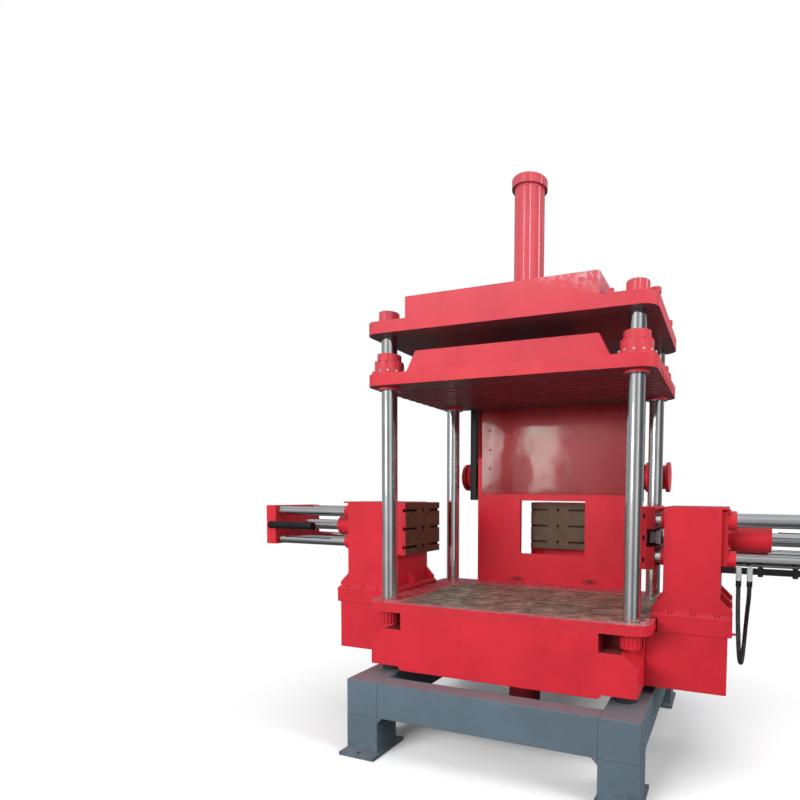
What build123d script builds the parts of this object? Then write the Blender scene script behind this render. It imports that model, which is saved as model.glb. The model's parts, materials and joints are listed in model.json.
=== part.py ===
"""Gravity casting machine with three core-pull units.

A four-column vertical press stands on a low welded base frame. Its moving platen
slides on the columns, and a core-pull unit is bolted to the left, right and rear
sides of the bed. Millimetres, +Z up, +X to the machine's right, +Y to its rear.
The origin is on the floor at the centre of the four anchor bolts.
"""

import os
from math import radians, tan

from build123d import *

# Running and seating clearances
running_gap = 0.05
seat_gap = 0.3
moving_gap = 6.0

# Four chromed columns
column_dia = 100.0
column_span_x = 1600.0
column_span_y = 860.0
plate_side_margin = 120.0
bed_side_margin = 60.0
pocket_side_gap = 160.0
crown_box_gap = 189.0
post_side_margin = 76.0
rib_base_gap = 130.0
rib_top_gap = 208.0
wall_side_gap = 162.0
die_face_margin = 12.0
frame_side_margin = 108.0
frame_front_margin = 301.0
frame_rear_margin = 557.0
plate_end_margin = 110.0
bed_end_margin = 122.0
rib_end_margin = 25.0
post_end_gap = 130.0
rear_die_margin = 285.0

# Base frame
frame_width = column_span_x + 2 * frame_side_margin
frame_front_reach = column_span_y / 2 + frame_front_margin
frame_rear_reach = column_span_y / 2 + frame_rear_margin
frame_top_height = 464.0
beam_depth = 220.0
cross_beam_width = 118.0
side_beam_width = 220.0
leg_length = 200.0
foot_width = 250.0
foot_length = 320.0
foot_thickness = 22.0
anchor_hole_dia = 26.0
anchor_edge_inset = 32.0
haunch_size = 36.0

# Round rubber mounts between the frame and the bed
mount_dia = 136.0
mount_height = 51.0
mount_inset = 25.0

# Bed
bed_half_depth = column_span_y / 2 + bed_end_margin
bed_half_width = column_span_x / 2 + bed_side_margin
bed_plate_half_width = column_span_x / 2 + plate_side_margin
bed_plate_thickness = 60.0
bed_top_height = 920.0
plate_corner_radius = 90.0
belly_half_width = column_span_x / 2 - pocket_side_gap
belly_drop = 25.0
pocket_half_span = column_span_x / 2 - pocket_side_gap
pocket_depth = 212.0
pocket_floor = 752.0
shoulder_width = 92.0
shoulder_height = 77.0
tee_slot_count = 8
tee_slot_pitch = 90.0
tee_neck_width = 22.0
tee_neck_depth = 18.0
tee_head_width = 38.0
tee_head_depth = 16.0

# Column nuts
upper_nut_dia = 130.0
upper_nut_height = 80.0
upper_thread_height = 58.0
lower_nut_dia = 120.0
lower_nut_height = 95.0
lower_nut_flutes = 16
flute_dia = 10.0

# Crown
plate_half_width = column_span_x / 2 + plate_side_margin
plate_half_depth = column_span_y / 2 + plate_end_margin
crown_clearance = 102.0
crown_thickness = 76.0
crown_box_half_width = column_span_x / 2 - crown_box_gap
crown_box_height = 130.0
crown_box_wall = 30.0
lifting_post_dia = 64.0
lifting_post_height = 82.0
lifting_post_x = column_span_x / 2 + post_side_margin
lifting_post_y = column_span_y / 2 - post_end_gap
lifting_groove_depth = 8.0
lifting_groove_height = 26.0

# Moving platen
platen_base_height = 2300.0
platen_thickness = 74.0
rib_top_half_width = column_span_x / 2 - rib_top_gap
rib_base_half_width = column_span_x / 2 - rib_base_gap
rib_height = 148.0
rib_face_reach = column_span_y / 2 + rib_end_margin
rib_thickness = 60.0
web_thickness = 40.0
web_half_span = 330.0
web_height = 106.0
bush_flange_dia = 220.0
bush_flange_height = 18.0
bush_collar_dia = 186.0
bush_collar_height = 63.0
bush_neck_dia = 152.0
bush_neck_height = 55.0
bush_ring_dia = 147.0
bush_ring_height = 17.0

# Main cylinder, standing on the crown
barrel_dia = 200.0
barrel_bore_dia = 160.0
barrel_height = 860.0
barrel_flange_dia = 310.0
barrel_flange_height = 45.0
barrel_cap_dia = 236.0
barrel_cap_height = 64.0
ram_dia = 110.0
ram_flange_dia = 230.0
ram_flange_height = 42.0
piston_height = 60.0
piston_head_room = 40.0
platen_stroke = 600.0

# Ejector cylinder under the bed
ejector_dia = 216.0
ejector_length = 290.0
ejector_flange_dia = 270.0
ejector_flange_height = 30.0

# Rear wall on the bed, with the window that the rear core slides through
wall_half_width = column_span_x / 2 - wall_side_gap
wall_thickness = 40.0
wall_top_height = 1917.0
window_half_width = 265.0
window_drop = 219.0
window_rise = 203.0
panel_side_inset = 40.0
panel_base_height = 1627.0
panel_top_rise = 40.0
stiffener_width = 110.0

# Racks on the platen and their closed gear housings on the wall
rack_width = 50.0
rack_depth = 44.0
rack_gap = 13.0
rack_base_height = 1573.0
rack_tooth_pitch = 25.0
rack_tooth_height = 9.0
hub_dia = 220.0
hub_axis_drop = 157.0
hub_rim_width = 26.0
hub_drum_dia = 176.0
left_hub_length = 78.0
right_hub_length = 172.0
housing_half_height = 92.0
housing_depth = 130.0
housing_inset = 36.0
housing_corner_radius = 24.0

# Core-pull units: distances from the die face outwards, heights from the floor
core_axis_height = 1371.0
side_die_face = column_span_x / 2 + die_face_margin
rear_die_face = column_span_y / 2 + rear_die_margin
die_half_width = 232.0
die_half_height = 185.0
die_thickness = 32.0
die_backing_thickness = 48.0
die_row_pitch = 129.0
die_hole_dia = 24.0
die_slot_start = 90.0
die_slot_neck = 16.0
die_slot_head = 30.0
die_slot_neck_depth = 12.0
die_slot_head_depth = 10.0
guide_rod_dia = 70.0
guide_side_offset = 180.0
guide_height_offset = 109.0
guide_socket_depth = 30.0
pedestal_gap = 58.0
pedestal_length = 311.0
pedestal_half_width = 280.0
pedestal_crest_rise = 175.0
cover_thickness = 12.0
cover_overhang = 38.0
base_inner_reach = 65.0
base_outer_reach = 69.0
base_plate_thickness = 30.0
base_plate_ledge = 32.0
base_plate_chamfer = 15.0
base_bolt_reaches = [109.0, 238.0, 365.0]
base_bolt_ledge = 16.0
base_seat_dia = 27.0
base_seat_depth = 12.0
gusset_thickness = 30.0
gusset_heel = 22.0
middle_gusset_heel = 24.0
gusset_rise = 68.0
riser_inset = 40.0
riser_thickness = 83.0
box_outer_inset = 22.0
box_side_inset = 7.0
guide_bush_dia = 100.0
guide_bush_inner_reach = 25.0
guide_bush_outer_reach = 45.0
mounting_plate_thickness = 34.0
mounting_corner_radius = 12.0
core_barrel_dia = 154.0
core_barrel_length = 235.0
core_rod_dia = 78.0
core_passage_dia = 110.0
core_nut_across = 88.0
core_nut_length = 34.0
coupling_head_across = 74.0
coupling_head_length = 38.0
coupling_neck_dia = 56.0
coupling_slot_half_height = 52.0
coupling_slot_end = 50.0
core_tail_nut_across = 96.0
core_tail_nut_length = 34.0
guide_tail_nut_across = 52.0
guide_tail_nut_length = 22.0
tail_gap = 450.0
tail_half_width = 235.0
tail_half_height = 148.0
tail_thickness = 90.0
core_stroke = 320.0
trip_bar_dia = 56.0
trip_bar_length = 392.0
trip_bar_side = 268.0
trip_bar_ring_dia = 60.0
trip_bar_ring_width = 14.0
trip_lug_length = 14.0
rail_height = 34.0
rail_width = 20.0
rail_length = 504.0
rail_drop = 143.0
rail_side = 250.0
rail_clamp_length = 26.0
rail_clamp_ledge = 10.0
rail_clamp_width = 24.0
rail_clamp_inset = 5.0
first_clamp_reach = 204.0
clamp_spacing = 172.0
hose_dia = 24.0
fitting_dia = 30.0
fitting_height = 74.0
fitting_drop = 34.0
fitting_spacing = 56.0
first_fitting_reach = 94.0
lug_width = 18.0
lug_height = 24.0

# Heights and half sizes that follow from the driving dimensions
column_radius = column_dia / 2
column_x = column_span_x / 2
column_y = column_span_y / 2
frame_half_width = frame_width / 2
beam_base_height = frame_top_height - beam_depth
side_beam_x = frame_half_width - side_beam_width / 2
frame_length = frame_front_reach + frame_rear_reach
frame_middle_y = (frame_rear_reach - frame_front_reach) / 2
front_leg_y = leg_length / 2 - frame_front_reach
rear_leg_y = frame_rear_reach - leg_length / 2
bed_base_height = frame_top_height + mount_height
bed_body_top = bed_top_height - bed_plate_thickness
crown_base_height = platen_base_height + platen_thickness + rib_height + crown_clearance
crown_top_height = crown_base_height + crown_thickness
crown_box_top = crown_top_height + crown_box_height
platen_top_height = platen_base_height + platen_thickness
barrel_top_height = crown_box_top + barrel_height
panel_thickness = bed_half_depth - plate_half_depth - moving_gap
panel_half_width = wall_half_width - panel_side_inset
panel_top_height = platen_base_height + panel_top_rise
wall_rear_y = bed_half_depth + wall_thickness
window_base_height = core_axis_height - window_drop
window_top_height = core_axis_height + window_rise
hub_axis_height = wall_top_height - hub_axis_drop
hub_axis_reach = plate_half_depth + moving_gap + hub_dia / 2
rack_x = wall_half_width + rack_gap + rack_width / 2
hub_face_x = rack_x + rack_width / 2 + moving_gap
pedestal_top_height = core_axis_height + pedestal_crest_rise
core_box_base = bed_base_height
riser_top_height = bed_top_height + 5.0
riser_base_height = riser_top_height - riser_thickness
base_top_height = riser_top_height + base_plate_thickness

corner_signs = [(-1, -1), (1, -1), (-1, 1), (1, 1)]
column_places = [(sx * column_x, sy * column_y) for sx, sy in corner_signs]

os.makedirs("parts", exist_ok=True)


def save(piece, name):
    """Label a finished piece and write its STEP file."""
    piece.part.label = name
    export_step(piece.part, f"parts/{name}.step")


def tee_slots(face_height, into, half_length):
    """T-slots along X to cut from a face at face_height; into is +1 for upwards, -1 for down."""
    neck_middle = face_height + into * tee_neck_depth / 2
    head_middle = face_height + into * (tee_neck_depth + tee_head_depth / 2)
    with BuildPart() as slots:
        with BuildSketch(Plane.YZ):
            for index in range(tee_slot_count):
                slot_y = (index - (tee_slot_count - 1) / 2) * tee_slot_pitch
                with Locations((slot_y, neck_middle)):
                    Rectangle(tee_neck_width, tee_neck_depth)
                with Locations((slot_y, head_middle)):
                    Rectangle(tee_head_width, tee_head_depth)
        extrude(amount=half_length, both=True)
    return slots.part


# Base frame: two cross beams and two side beams
for name, inner_side, outer_y in (("frame_front_beam", 1, -frame_front_reach), ("frame_rear_beam", -1, frame_rear_reach)):
    middle_y = outer_y + inner_side * cross_beam_width / 2
    inner_half = frame_half_width - side_beam_width
    with BuildPart() as cross_beam:
        with BuildSketch(Plane.XZ.offset(-middle_y)):
            with BuildLine():
                Polyline(
                    (-inner_half, frame_top_height), (inner_half, frame_top_height),
                    (inner_half, beam_base_height - haunch_size), (inner_half - haunch_size, beam_base_height),
                    (haunch_size - inner_half, beam_base_height), (-inner_half, beam_base_height - haunch_size),
                    close=True,
                )
            make_face()
        extrude(amount=cross_beam_width / 2, both=True)
    save(cross_beam, name)

for name, side in (("frame_left_beam", -1), ("frame_right_beam", 1)):
    with BuildPart() as side_beam:
        with BuildSketch(Plane.XY.offset(beam_base_height)):
            with Locations((side * side_beam_x, frame_middle_y)):
                Rectangle(side_beam_width, frame_length)
        extrude(amount=beam_depth)
        fillet(side_beam.edges().filter_by(Axis.Y), radius=6)
    save(side_beam, name)

# Four legs, each welded to its foot plate with two anchor holes
with BuildPart() as frame_legs:
    for side in (-1, 1):
        for leg_y in (front_leg_y, rear_leg_y):
            with BuildSketch(Plane.XY):
                with Locations((side * side_beam_x, leg_y)):
                    Rectangle(foot_width, foot_length)
            extrude(amount=foot_thickness)
            with BuildSketch(Plane.XY.offset(foot_thickness)):
                with Locations((side * side_beam_x, leg_y)):
                    Rectangle(side_beam_width, leg_length)
            extrude(amount=beam_base_height - foot_thickness)
            with BuildSketch(Plane.XY):
                hole_step = foot_length / 2 - anchor_edge_inset
                with Locations((side * side_beam_x, leg_y - hole_step), (side * side_beam_x, leg_y + hole_step)):
                    Circle(anchor_hole_dia / 2)
            extrude(amount=foot_thickness, mode=Mode.SUBTRACT)
save(frame_legs, "frame_legs")

# Round mounts on the side beams
mount_places = [(sx * (column_x - mount_inset), sy * column_y) for sx, sy in corner_signs]
with BuildPart() as bed_mounts:
    with BuildSketch(Plane.XY.offset(frame_top_height)):
        with Locations(*mount_places):
            Circle(mount_dia / 2)
    extrude(amount=mount_height)
save(bed_mounts, "bed_mounts")

# Bed body: a block with a belly between the side beams and open pockets for the nuts
with BuildPart() as bed_body:
    with BuildSketch(Plane.XZ):
        with BuildLine():
            belly_base = bed_base_height - belly_drop
            Polyline(
                (-bed_half_width, bed_base_height), (-belly_half_width - belly_drop, bed_base_height),
                (-belly_half_width, belly_base), (belly_half_width, belly_base),
                (belly_half_width + belly_drop, bed_base_height), (bed_half_width, bed_base_height),
                (bed_half_width, bed_body_top), (-bed_half_width, bed_body_top), close=True,
            )
        make_face()
    extrude(amount=bed_half_depth, both=True)
    for sx, sy in corner_signs:
        pocket_y = sy * (bed_half_depth - pocket_depth / 2)
        with BuildSketch(Plane.XZ.offset(-pocket_y)):
            with BuildLine():
                shoulder_x = bed_half_width - shoulder_width
                Polyline(
                    (sx * pocket_half_span, bed_body_top), (sx * pocket_half_span, pocket_floor),
                    (sx * shoulder_x, pocket_floor), (sx * bed_half_width, pocket_floor - shoulder_height),
                    (sx * (bed_half_width + 1), pocket_floor - shoulder_height),
                    (sx * (bed_half_width + 1), bed_body_top), close=True,
                )
            make_face()
        extrude(amount=pocket_depth / 2, both=True, mode=Mode.SUBTRACT)
save(bed_body, "bed_body")

# Bed plate with rounded ears, column holes and T-slots across its top
with BuildPart() as bed_plate:
    with BuildSketch(Plane.XY.offset(bed_body_top)):
        RectangleRounded(2 * bed_plate_half_width, 2 * bed_half_depth, plate_corner_radius)
        with Locations(*column_places):
            Circle(column_radius + seat_gap, mode=Mode.SUBTRACT)
    extrude(amount=bed_plate_thickness)
    add(tee_slots(bed_top_height, -1, bed_plate_half_width), mode=Mode.SUBTRACT)
save(bed_plate, "bed_plate")

# Columns, from the lower nuts to their thread in the upper nuts
column_base = bed_body_top - lower_nut_height
column_top = crown_top_height + upper_thread_height
with BuildPart() as columns:
    with BuildSketch(Plane.XY.offset(column_base)):
        with Locations(*column_places):
            Circle(column_radius)
    extrude(amount=column_top - column_base)
    chamfer(columns.edges().filter_by(GeomType.CIRCLE), length=3)
save(columns, "columns")

# Capped nuts on the crown
with BuildPart() as upper_nuts:
    with BuildSketch(Plane.XY.offset(crown_top_height)):
        with Locations(*column_places):
            Circle(upper_nut_dia / 2)
    extrude(amount=upper_nut_height)
    chamfer(upper_nuts.edges().group_by(Axis.Z)[-1], length=5)
    with BuildSketch(Plane.XY.offset(crown_top_height)):
        with Locations(*column_places):
            Circle(column_radius + seat_gap)
    extrude(amount=upper_thread_height + seat_gap, mode=Mode.SUBTRACT)
save(upper_nuts, "upper_nuts")

# Fluted nuts under the bed plate
with BuildPart() as lower_nuts:
    with BuildSketch(Plane.XY.offset(bed_body_top)):
        for place in column_places:
            with Locations(place):
                Circle(lower_nut_dia / 2)
                Circle(column_radius + seat_gap, mode=Mode.SUBTRACT)
            with Locations(place):
                with PolarLocations(lower_nut_dia / 2, lower_nut_flutes):
                    Circle(flute_dia / 2, mode=Mode.SUBTRACT)
    extrude(amount=-lower_nut_height)
save(lower_nuts, "lower_nuts")

# Crown plate
with BuildPart() as crown_plate:
    with BuildSketch(Plane.XY.offset(crown_base_height)):
        RectangleRounded(2 * plate_half_width, 2 * plate_half_depth, plate_corner_radius)
        with Locations(*column_places):
            Circle(column_radius + seat_gap, mode=Mode.SUBTRACT)
        Circle(ram_dia / 2 + moving_gap, mode=Mode.SUBTRACT)
    extrude(amount=crown_thickness)
save(crown_plate, "crown_plate")

# Welded box on the crown, open below and closed by the crown plate
with BuildPart() as crown_box:
    with BuildSketch(Plane.XY.offset(crown_top_height)):
        Rectangle(2 * crown_box_half_width, 2 * plate_half_depth)
    extrude(amount=crown_box_height)
    with BuildSketch(Plane.XY.offset(crown_top_height)):
        inner_width = 2 * (crown_box_half_width - crown_box_wall)
        inner_depth = 2 * (plate_half_depth - crown_box_wall)
        Rectangle(inner_width, inner_depth)
        Circle(barrel_flange_dia / 2, mode=Mode.SUBTRACT)
    extrude(amount=crown_box_height - crown_box_wall, mode=Mode.SUBTRACT)
    with BuildSketch(Plane.XY.offset(crown_top_height)):
        Circle(ram_dia / 2 + moving_gap)
    extrude(amount=crown_box_height, mode=Mode.SUBTRACT)
save(crown_box, "crown_box")

# Four grooved lifting posts on the crown plate
with BuildPart() as lifting_posts:
    for sx, sy in corner_signs:
        with BuildSketch(Plane.XY.offset(crown_top_height)):
            with Locations((sx * lifting_post_x, sy * lifting_post_y)):
                Circle(lifting_post_dia / 2)
        extrude(amount=lifting_post_height)
        groove_base = crown_top_height + (lifting_post_height - lifting_groove_height) / 2
        with BuildSketch(Plane.XY.offset(groove_base)):
            with Locations((sx * lifting_post_x, sy * lifting_post_y)):
                Circle(lifting_post_dia / 2)
                Circle(lifting_post_dia / 2 - lifting_groove_depth, mode=Mode.SUBTRACT)
        extrude(amount=lifting_groove_height, mode=Mode.SUBTRACT)
save(lifting_posts, "lifting_posts")

# Main cylinder: flange, barrel and cap in one turned body with a blind bore
with BuildPart() as main_cylinder:
    with BuildSketch(Plane.XZ):
        with BuildLine():
            flange_radius = barrel_flange_dia / 2
            barrel_radius = barrel_dia / 2
            cap_radius = barrel_cap_dia / 2
            gland_radius = ram_dia / 2 + running_gap
            bore_radius = barrel_bore_dia / 2
            flange_top = crown_box_top + barrel_flange_height
            cap_base = barrel_top_height - barrel_cap_height
            Polyline(
                (gland_radius, crown_box_top), (flange_radius, crown_box_top), (flange_radius, flange_top),
                (barrel_radius, flange_top), (barrel_radius, cap_base), (cap_radius, cap_base),
                (cap_radius, barrel_top_height), (0, barrel_top_height), (0, cap_base),
                (bore_radius, cap_base), (bore_radius, flange_top), (gland_radius, flange_top), close=True,
            )
        make_face()
    revolve(axis=Axis.Z)
    chamfer(main_cylinder.edges().group_by(Axis.Z)[-1], length=8)
save(main_cylinder, "main_cylinder")

# Ram with its piston, bolted to the platen by a flange
ram_top = barrel_top_height - barrel_cap_height - piston_head_room
with BuildPart() as main_ram:
    with BuildSketch(Plane.XY.offset(platen_top_height)):
        Circle(ram_flange_dia / 2)
    extrude(amount=ram_flange_height)
    with BuildSketch(Plane.XY.offset(platen_top_height)):
        Circle(ram_dia / 2)
    extrude(amount=ram_top - platen_top_height)
    with BuildSketch(Plane.XY.offset(ram_top)):
        Circle(barrel_bore_dia / 2 - running_gap)
    extrude(amount=-piston_height)
save(main_ram, "main_ram")

# Platen plate with T-slots in its underside
bush_spigot_radius = bush_ring_dia / 2
with BuildPart() as platen_plate:
    with BuildSketch(Plane.XY.offset(platen_base_height)):
        RectangleRounded(2 * plate_half_width, 2 * plate_half_depth, plate_corner_radius)
        with Locations(*column_places):
            Circle(bush_spigot_radius + seat_gap, mode=Mode.SUBTRACT)
    extrude(amount=platen_thickness)
    add(tee_slots(platen_base_height, 1, plate_half_width), mode=Mode.SUBTRACT)
save(platen_plate, "platen_plate")

# Two trapezoid ribs on the platen
with BuildPart() as platen_ribs:
    for sy in (-1, 1):
        rib_middle = sy * (rib_face_reach - rib_thickness / 2)
        with BuildSketch(Plane.XZ.offset(-rib_middle)):
            with BuildLine():
                rib_top = platen_top_height + rib_height
                Polyline(
                    (-rib_base_half_width, platen_top_height), (rib_base_half_width, platen_top_height),
                    (rib_top_half_width, rib_top), (-rib_top_half_width, rib_top), close=True,
                )
            make_face()
        extrude(amount=rib_thickness / 2, both=True)
save(platen_ribs, "platen_ribs")

# Two webs across the platen between the ribs
with BuildPart() as platen_webs:
    with BuildSketch(Plane.XY.offset(platen_top_height)):
        with Locations((-web_half_span, 0), (web_half_span, 0)):
            Rectangle(web_thickness, 2 * (rib_face_reach - rib_thickness))
    extrude(amount=web_height)
save(platen_webs, "platen_webs")

# Stepped guide bushes, each turned with its spigot through the platen
with BuildPart() as platen_bushes:
    flange_top = platen_top_height + bush_flange_height
    collar_top = flange_top + bush_collar_height
    neck_top = collar_top + bush_neck_height
    bush_steps = [
        (platen_base_height - bush_ring_height, bush_ring_dia, platen_top_height),
        (platen_top_height, bush_flange_dia, flange_top),
        (flange_top, bush_collar_dia, collar_top),
        (collar_top, bush_neck_dia, neck_top),
    ]
    for step_base, step_dia, step_top in bush_steps:
        with BuildSketch(Plane.XY.offset(step_base)):
            with Locations(*column_places):
                Circle(step_dia / 2)
        extrude(amount=step_top - step_base)
    with BuildSketch(Plane.XY.offset(platen_base_height - bush_ring_height)):
        with Locations(*column_places):
            Circle(column_radius + running_gap)
    extrude(amount=neck_top - platen_base_height + bush_ring_height, mode=Mode.SUBTRACT)
save(platen_bushes, "platen_bushes")

# Toothed racks bolted to the platen's rear face
with BuildPart() as platen_racks:
    rack_top = platen_top_height
    rack_rear = plate_half_depth + rack_depth
    tooth_count = int((rack_top - rack_base_height - rack_tooth_pitch) // rack_tooth_pitch)
    with BuildSketch(Plane.YZ):
        with Locations((plate_half_depth + rack_depth / 2, (rack_base_height + rack_top) / 2)):
            Rectangle(rack_depth, rack_top - rack_base_height)
        for tooth in range(tooth_count):
            tooth_middle = rack_base_height + (tooth + 1) * rack_tooth_pitch
            with BuildLine():
                tooth_root = rack_tooth_pitch * 0.36
                tooth_tip = rack_tooth_pitch * 0.16
                Polyline(
                    (rack_rear, tooth_middle - tooth_root), (rack_rear + rack_tooth_height, tooth_middle - tooth_tip),
                    (rack_rear + rack_tooth_height, tooth_middle + tooth_tip), (rack_rear, tooth_middle + tooth_root),
                    close=True,
                )
            make_face()
    extrude(amount=rack_width / 2, both=True)
    rack_copy = platen_racks.part.moved(Location((rack_x, 0, 0)))
    left_copy = platen_racks.part.moved(Location((-rack_x, 0, 0)))
with BuildPart() as rack_pair:
    add(rack_copy)
    add(left_copy)
save(rack_pair, "platen_racks")

# Rear wall with its window
with BuildPart() as rear_wall:
    with BuildSketch(Plane.XZ.offset(-bed_half_depth)):
        wall_height = wall_top_height - riser_base_height
        with Locations((0, riser_base_height + wall_height / 2)):
            Rectangle(2 * wall_half_width, wall_height)
        with Locations((0, (window_base_height + window_top_height) / 2)):
            Rectangle(2 * window_half_width, window_top_height - window_base_height, mode=Mode.SUBTRACT)
    extrude(amount=-wall_thickness)
save(rear_wall, "rear_wall")

# Glossy upper panel over the wall, with two stiffeners above the wall's outer corners
with BuildPart() as upper_panel:
    with BuildSketch(Plane.XZ.offset(-bed_half_depth)):
        with Locations((0, (panel_base_height + panel_top_height) / 2)):
            Rectangle(2 * panel_half_width, panel_top_height - panel_base_height)
    extrude(amount=panel_thickness)
    with BuildSketch(Plane.XZ.offset(-bed_half_depth)):
        stiffener_x = wall_half_width - stiffener_width / 2
        stiffener_height = panel_top_height - wall_top_height
        with Locations(*[(sx * stiffener_x, wall_top_height + stiffener_height / 2) for sx in (-1, 1)]):
            Rectangle(stiffener_width, stiffener_height)
    extrude(amount=-wall_thickness)
save(upper_panel, "upper_panel")

# Closed gear housings behind the racks, with round bearing hubs beside them
housing_front = plate_half_depth + rack_depth + rack_tooth_height + moving_gap
for name, side, hub_length in (("left_rack_housing", -1, left_hub_length), ("right_rack_housing", 1, right_hub_length)):
    with BuildPart() as rack_housing:
        inner_x = wall_half_width - housing_inset
        body_middle = (inner_x + hub_face_x) / 2
        with BuildSketch(Plane.YZ.offset(side * body_middle)):
            with Locations((housing_front + housing_depth / 2, hub_axis_height)):
                RectangleRounded(housing_depth, 2 * housing_half_height, housing_corner_radius)
        extrude(amount=(hub_face_x - inner_x) / 2, both=True)
        with BuildSketch(Plane.YZ.offset(side * (inner_x + wall_half_width) / 2)):
            pad_depth = housing_front + housing_depth / 2 - wall_rear_y
            with Locations((wall_rear_y + pad_depth / 2, hub_axis_height)):
                Rectangle(pad_depth, 2 * (housing_half_height - housing_corner_radius))
        extrude(amount=(wall_half_width - inner_x) / 2, both=True)
        with BuildSketch(Plane.YZ.offset(side * hub_face_x)):
            with Locations((hub_axis_reach, hub_axis_height)):
                Circle(hub_drum_dia / 2)
        extrude(amount=side * hub_length)
        for rim_face in (hub_face_x, hub_face_x + hub_length - hub_rim_width):
            with BuildSketch(Plane.YZ.offset(side * rim_face)):
                with Locations((hub_axis_reach, hub_axis_height)):
                    Circle(hub_dia / 2)
            extrude(amount=side * hub_rim_width)
    save(rack_housing, name)

# Ejector cylinder, hanging from the bed's belly
with BuildPart() as ejector_cylinder:
    with BuildSketch(Plane.XY.offset(bed_base_height - belly_drop)):
        Circle(ejector_flange_dia / 2)
    extrude(amount=-ejector_flange_height)
    with BuildSketch(Plane.XY.offset(bed_base_height - belly_drop - ejector_flange_height)):
        Circle(ejector_dia / 2)
    extrude(amount=-ejector_length)
save(ejector_cylinder, "ejector_cylinder")


class CoreUnit:
    """Planes of one core-pull unit: local x runs outwards, local y is the unit's side."""

    def __init__(self, name, outward, side, die_face, box_root):
        self.name = name
        self.outward = Vector(*outward)
        self.side = Vector(*side)
        self.die_face = die_face
        self.box_root = box_root

    def floor_plane(self, height):
        """Plane at a height; its x is the outward distance and its y the sideways one."""
        return Plane(origin=(0, 0, height), x_dir=self.outward, z_dir=(0, 0, 1))

    def profile_plane(self, side_offset=0.0):
        """Upright plane along the unit; its x is the outward distance and its y the height."""
        return Plane(origin=self.side * side_offset, x_dir=self.outward, z_dir=self.side * -1)

    def facing_plane(self, distance):
        """Upright plane across the unit; its x is the sideways distance and its y the height."""
        return Plane(origin=self.outward * distance, x_dir=self.side, z_dir=self.outward)


guide_places = [
    (sx * guide_side_offset, core_axis_height + sz * guide_height_offset) for sx, sz in corner_signs
]
core_centre = (0, core_axis_height)
units = [
    CoreUnit("left", (-1, 0, 0), (0, -1, 0), side_die_face, bed_half_width),
    CoreUnit("right", (1, 0, 0), (0, 1, 0), side_die_face, bed_half_width),
    CoreUnit("rear", (0, 1, 0), (-1, 0, 0), rear_die_face, bed_half_depth),
]


def core_box(unit):
    """Welded box on the bed's side with the thick riser plate on it."""
    base_inner = unit.die_face + die_thickness + die_backing_thickness + pedestal_gap - base_inner_reach
    base_outer = base_inner + base_inner_reach + pedestal_length + base_outer_reach
    riser_half = pedestal_half_width + base_plate_ledge
    with BuildPart() as box:
        with BuildSketch(unit.floor_plane(core_box_base)):
            length = base_outer - box_outer_inset - unit.box_root
            with Locations((unit.box_root + length / 2, 0)):
                Rectangle(length, 2 * (riser_half - box_side_inset))
        extrude(amount=riser_base_height - core_box_base)
        with BuildSketch(unit.floor_plane(riser_base_height)):
            length = base_outer - base_inner - riser_inset
            with Locations((base_outer - length / 2, 0)):
                Rectangle(length, 2 * riser_half)
        extrude(amount=riser_thickness)
    save(box, f"{unit.name}_core_box")


def core_pedestal(unit):
    """Pedestal: base plate, waisted body, gussets at its foot and an overhanging cover."""
    inner = unit.die_face + die_thickness + die_backing_thickness + pedestal_gap
    outer = inner + pedestal_length
    base_inner = inner - base_inner_reach
    base_outer = outer + base_outer_reach
    with BuildPart() as pedestal:
        with BuildSketch(unit.floor_plane(riser_top_height)):
            with Locations(((base_inner + base_outer) / 2, 0)):
                Rectangle(base_outer - base_inner, 2 * (pedestal_half_width + base_plate_ledge))
        extrude(amount=base_plate_thickness)
        chamfer(pedestal.faces().sort_by(Axis.Z)[-1].edges(), length=base_plate_chamfer)
        with BuildSketch(unit.floor_plane(base_top_height)):
            bolt_side = pedestal_half_width + base_bolt_ledge
            seats = [(base_inner + reach, sy * bolt_side) for reach in base_bolt_reaches for sy in (-1, 1)]
            with Locations(*seats):
                Circle(base_seat_dia / 2)
        extrude(amount=-base_seat_depth, mode=Mode.SUBTRACT)
        with BuildSketch(unit.floor_plane(base_top_height)):
            with Locations(((inner + outer) / 2, 0)):
                Rectangle(pedestal_length, 2 * pedestal_half_width)
        extrude(amount=pedestal_top_height - base_top_height)
        edge_gusset = pedestal_half_width - gusset_thickness / 2
        gussets = [(-edge_gusset, gusset_heel), (0, middle_gusset_heel), (edge_gusset, gusset_heel)]
        for gusset_side, heel in gussets:
            with BuildSketch(unit.profile_plane(gusset_side)):
                with BuildLine():
                    Polyline(
                        (base_inner, base_top_height), (base_outer, base_top_height),
                        (base_outer, base_top_height + heel), (outer, base_top_height + heel + gusset_rise),
                        (inner, base_top_height + heel + gusset_rise), (base_inner, base_top_height + heel),
                        close=True,
                    )
                make_face()
            extrude(amount=gusset_thickness / 2, both=True)
        with BuildSketch(unit.floor_plane(pedestal_top_height)):
            length = pedestal_length + cover_overhang
            with Locations((inner + length / 2, 0)):
                Rectangle(length, 2 * pedestal_half_width)
        extrude(amount=cover_thickness)
        with BuildSketch(unit.facing_plane(inner)):
            with Locations(*guide_places):
                Circle(guide_bush_dia / 2 + seat_gap)
            with Locations(core_centre):
                Circle(core_passage_dia / 2)
        extrude(amount=pedestal_length, mode=Mode.SUBTRACT)
    save(pedestal, f"{unit.name}_core_pedestal")


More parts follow.
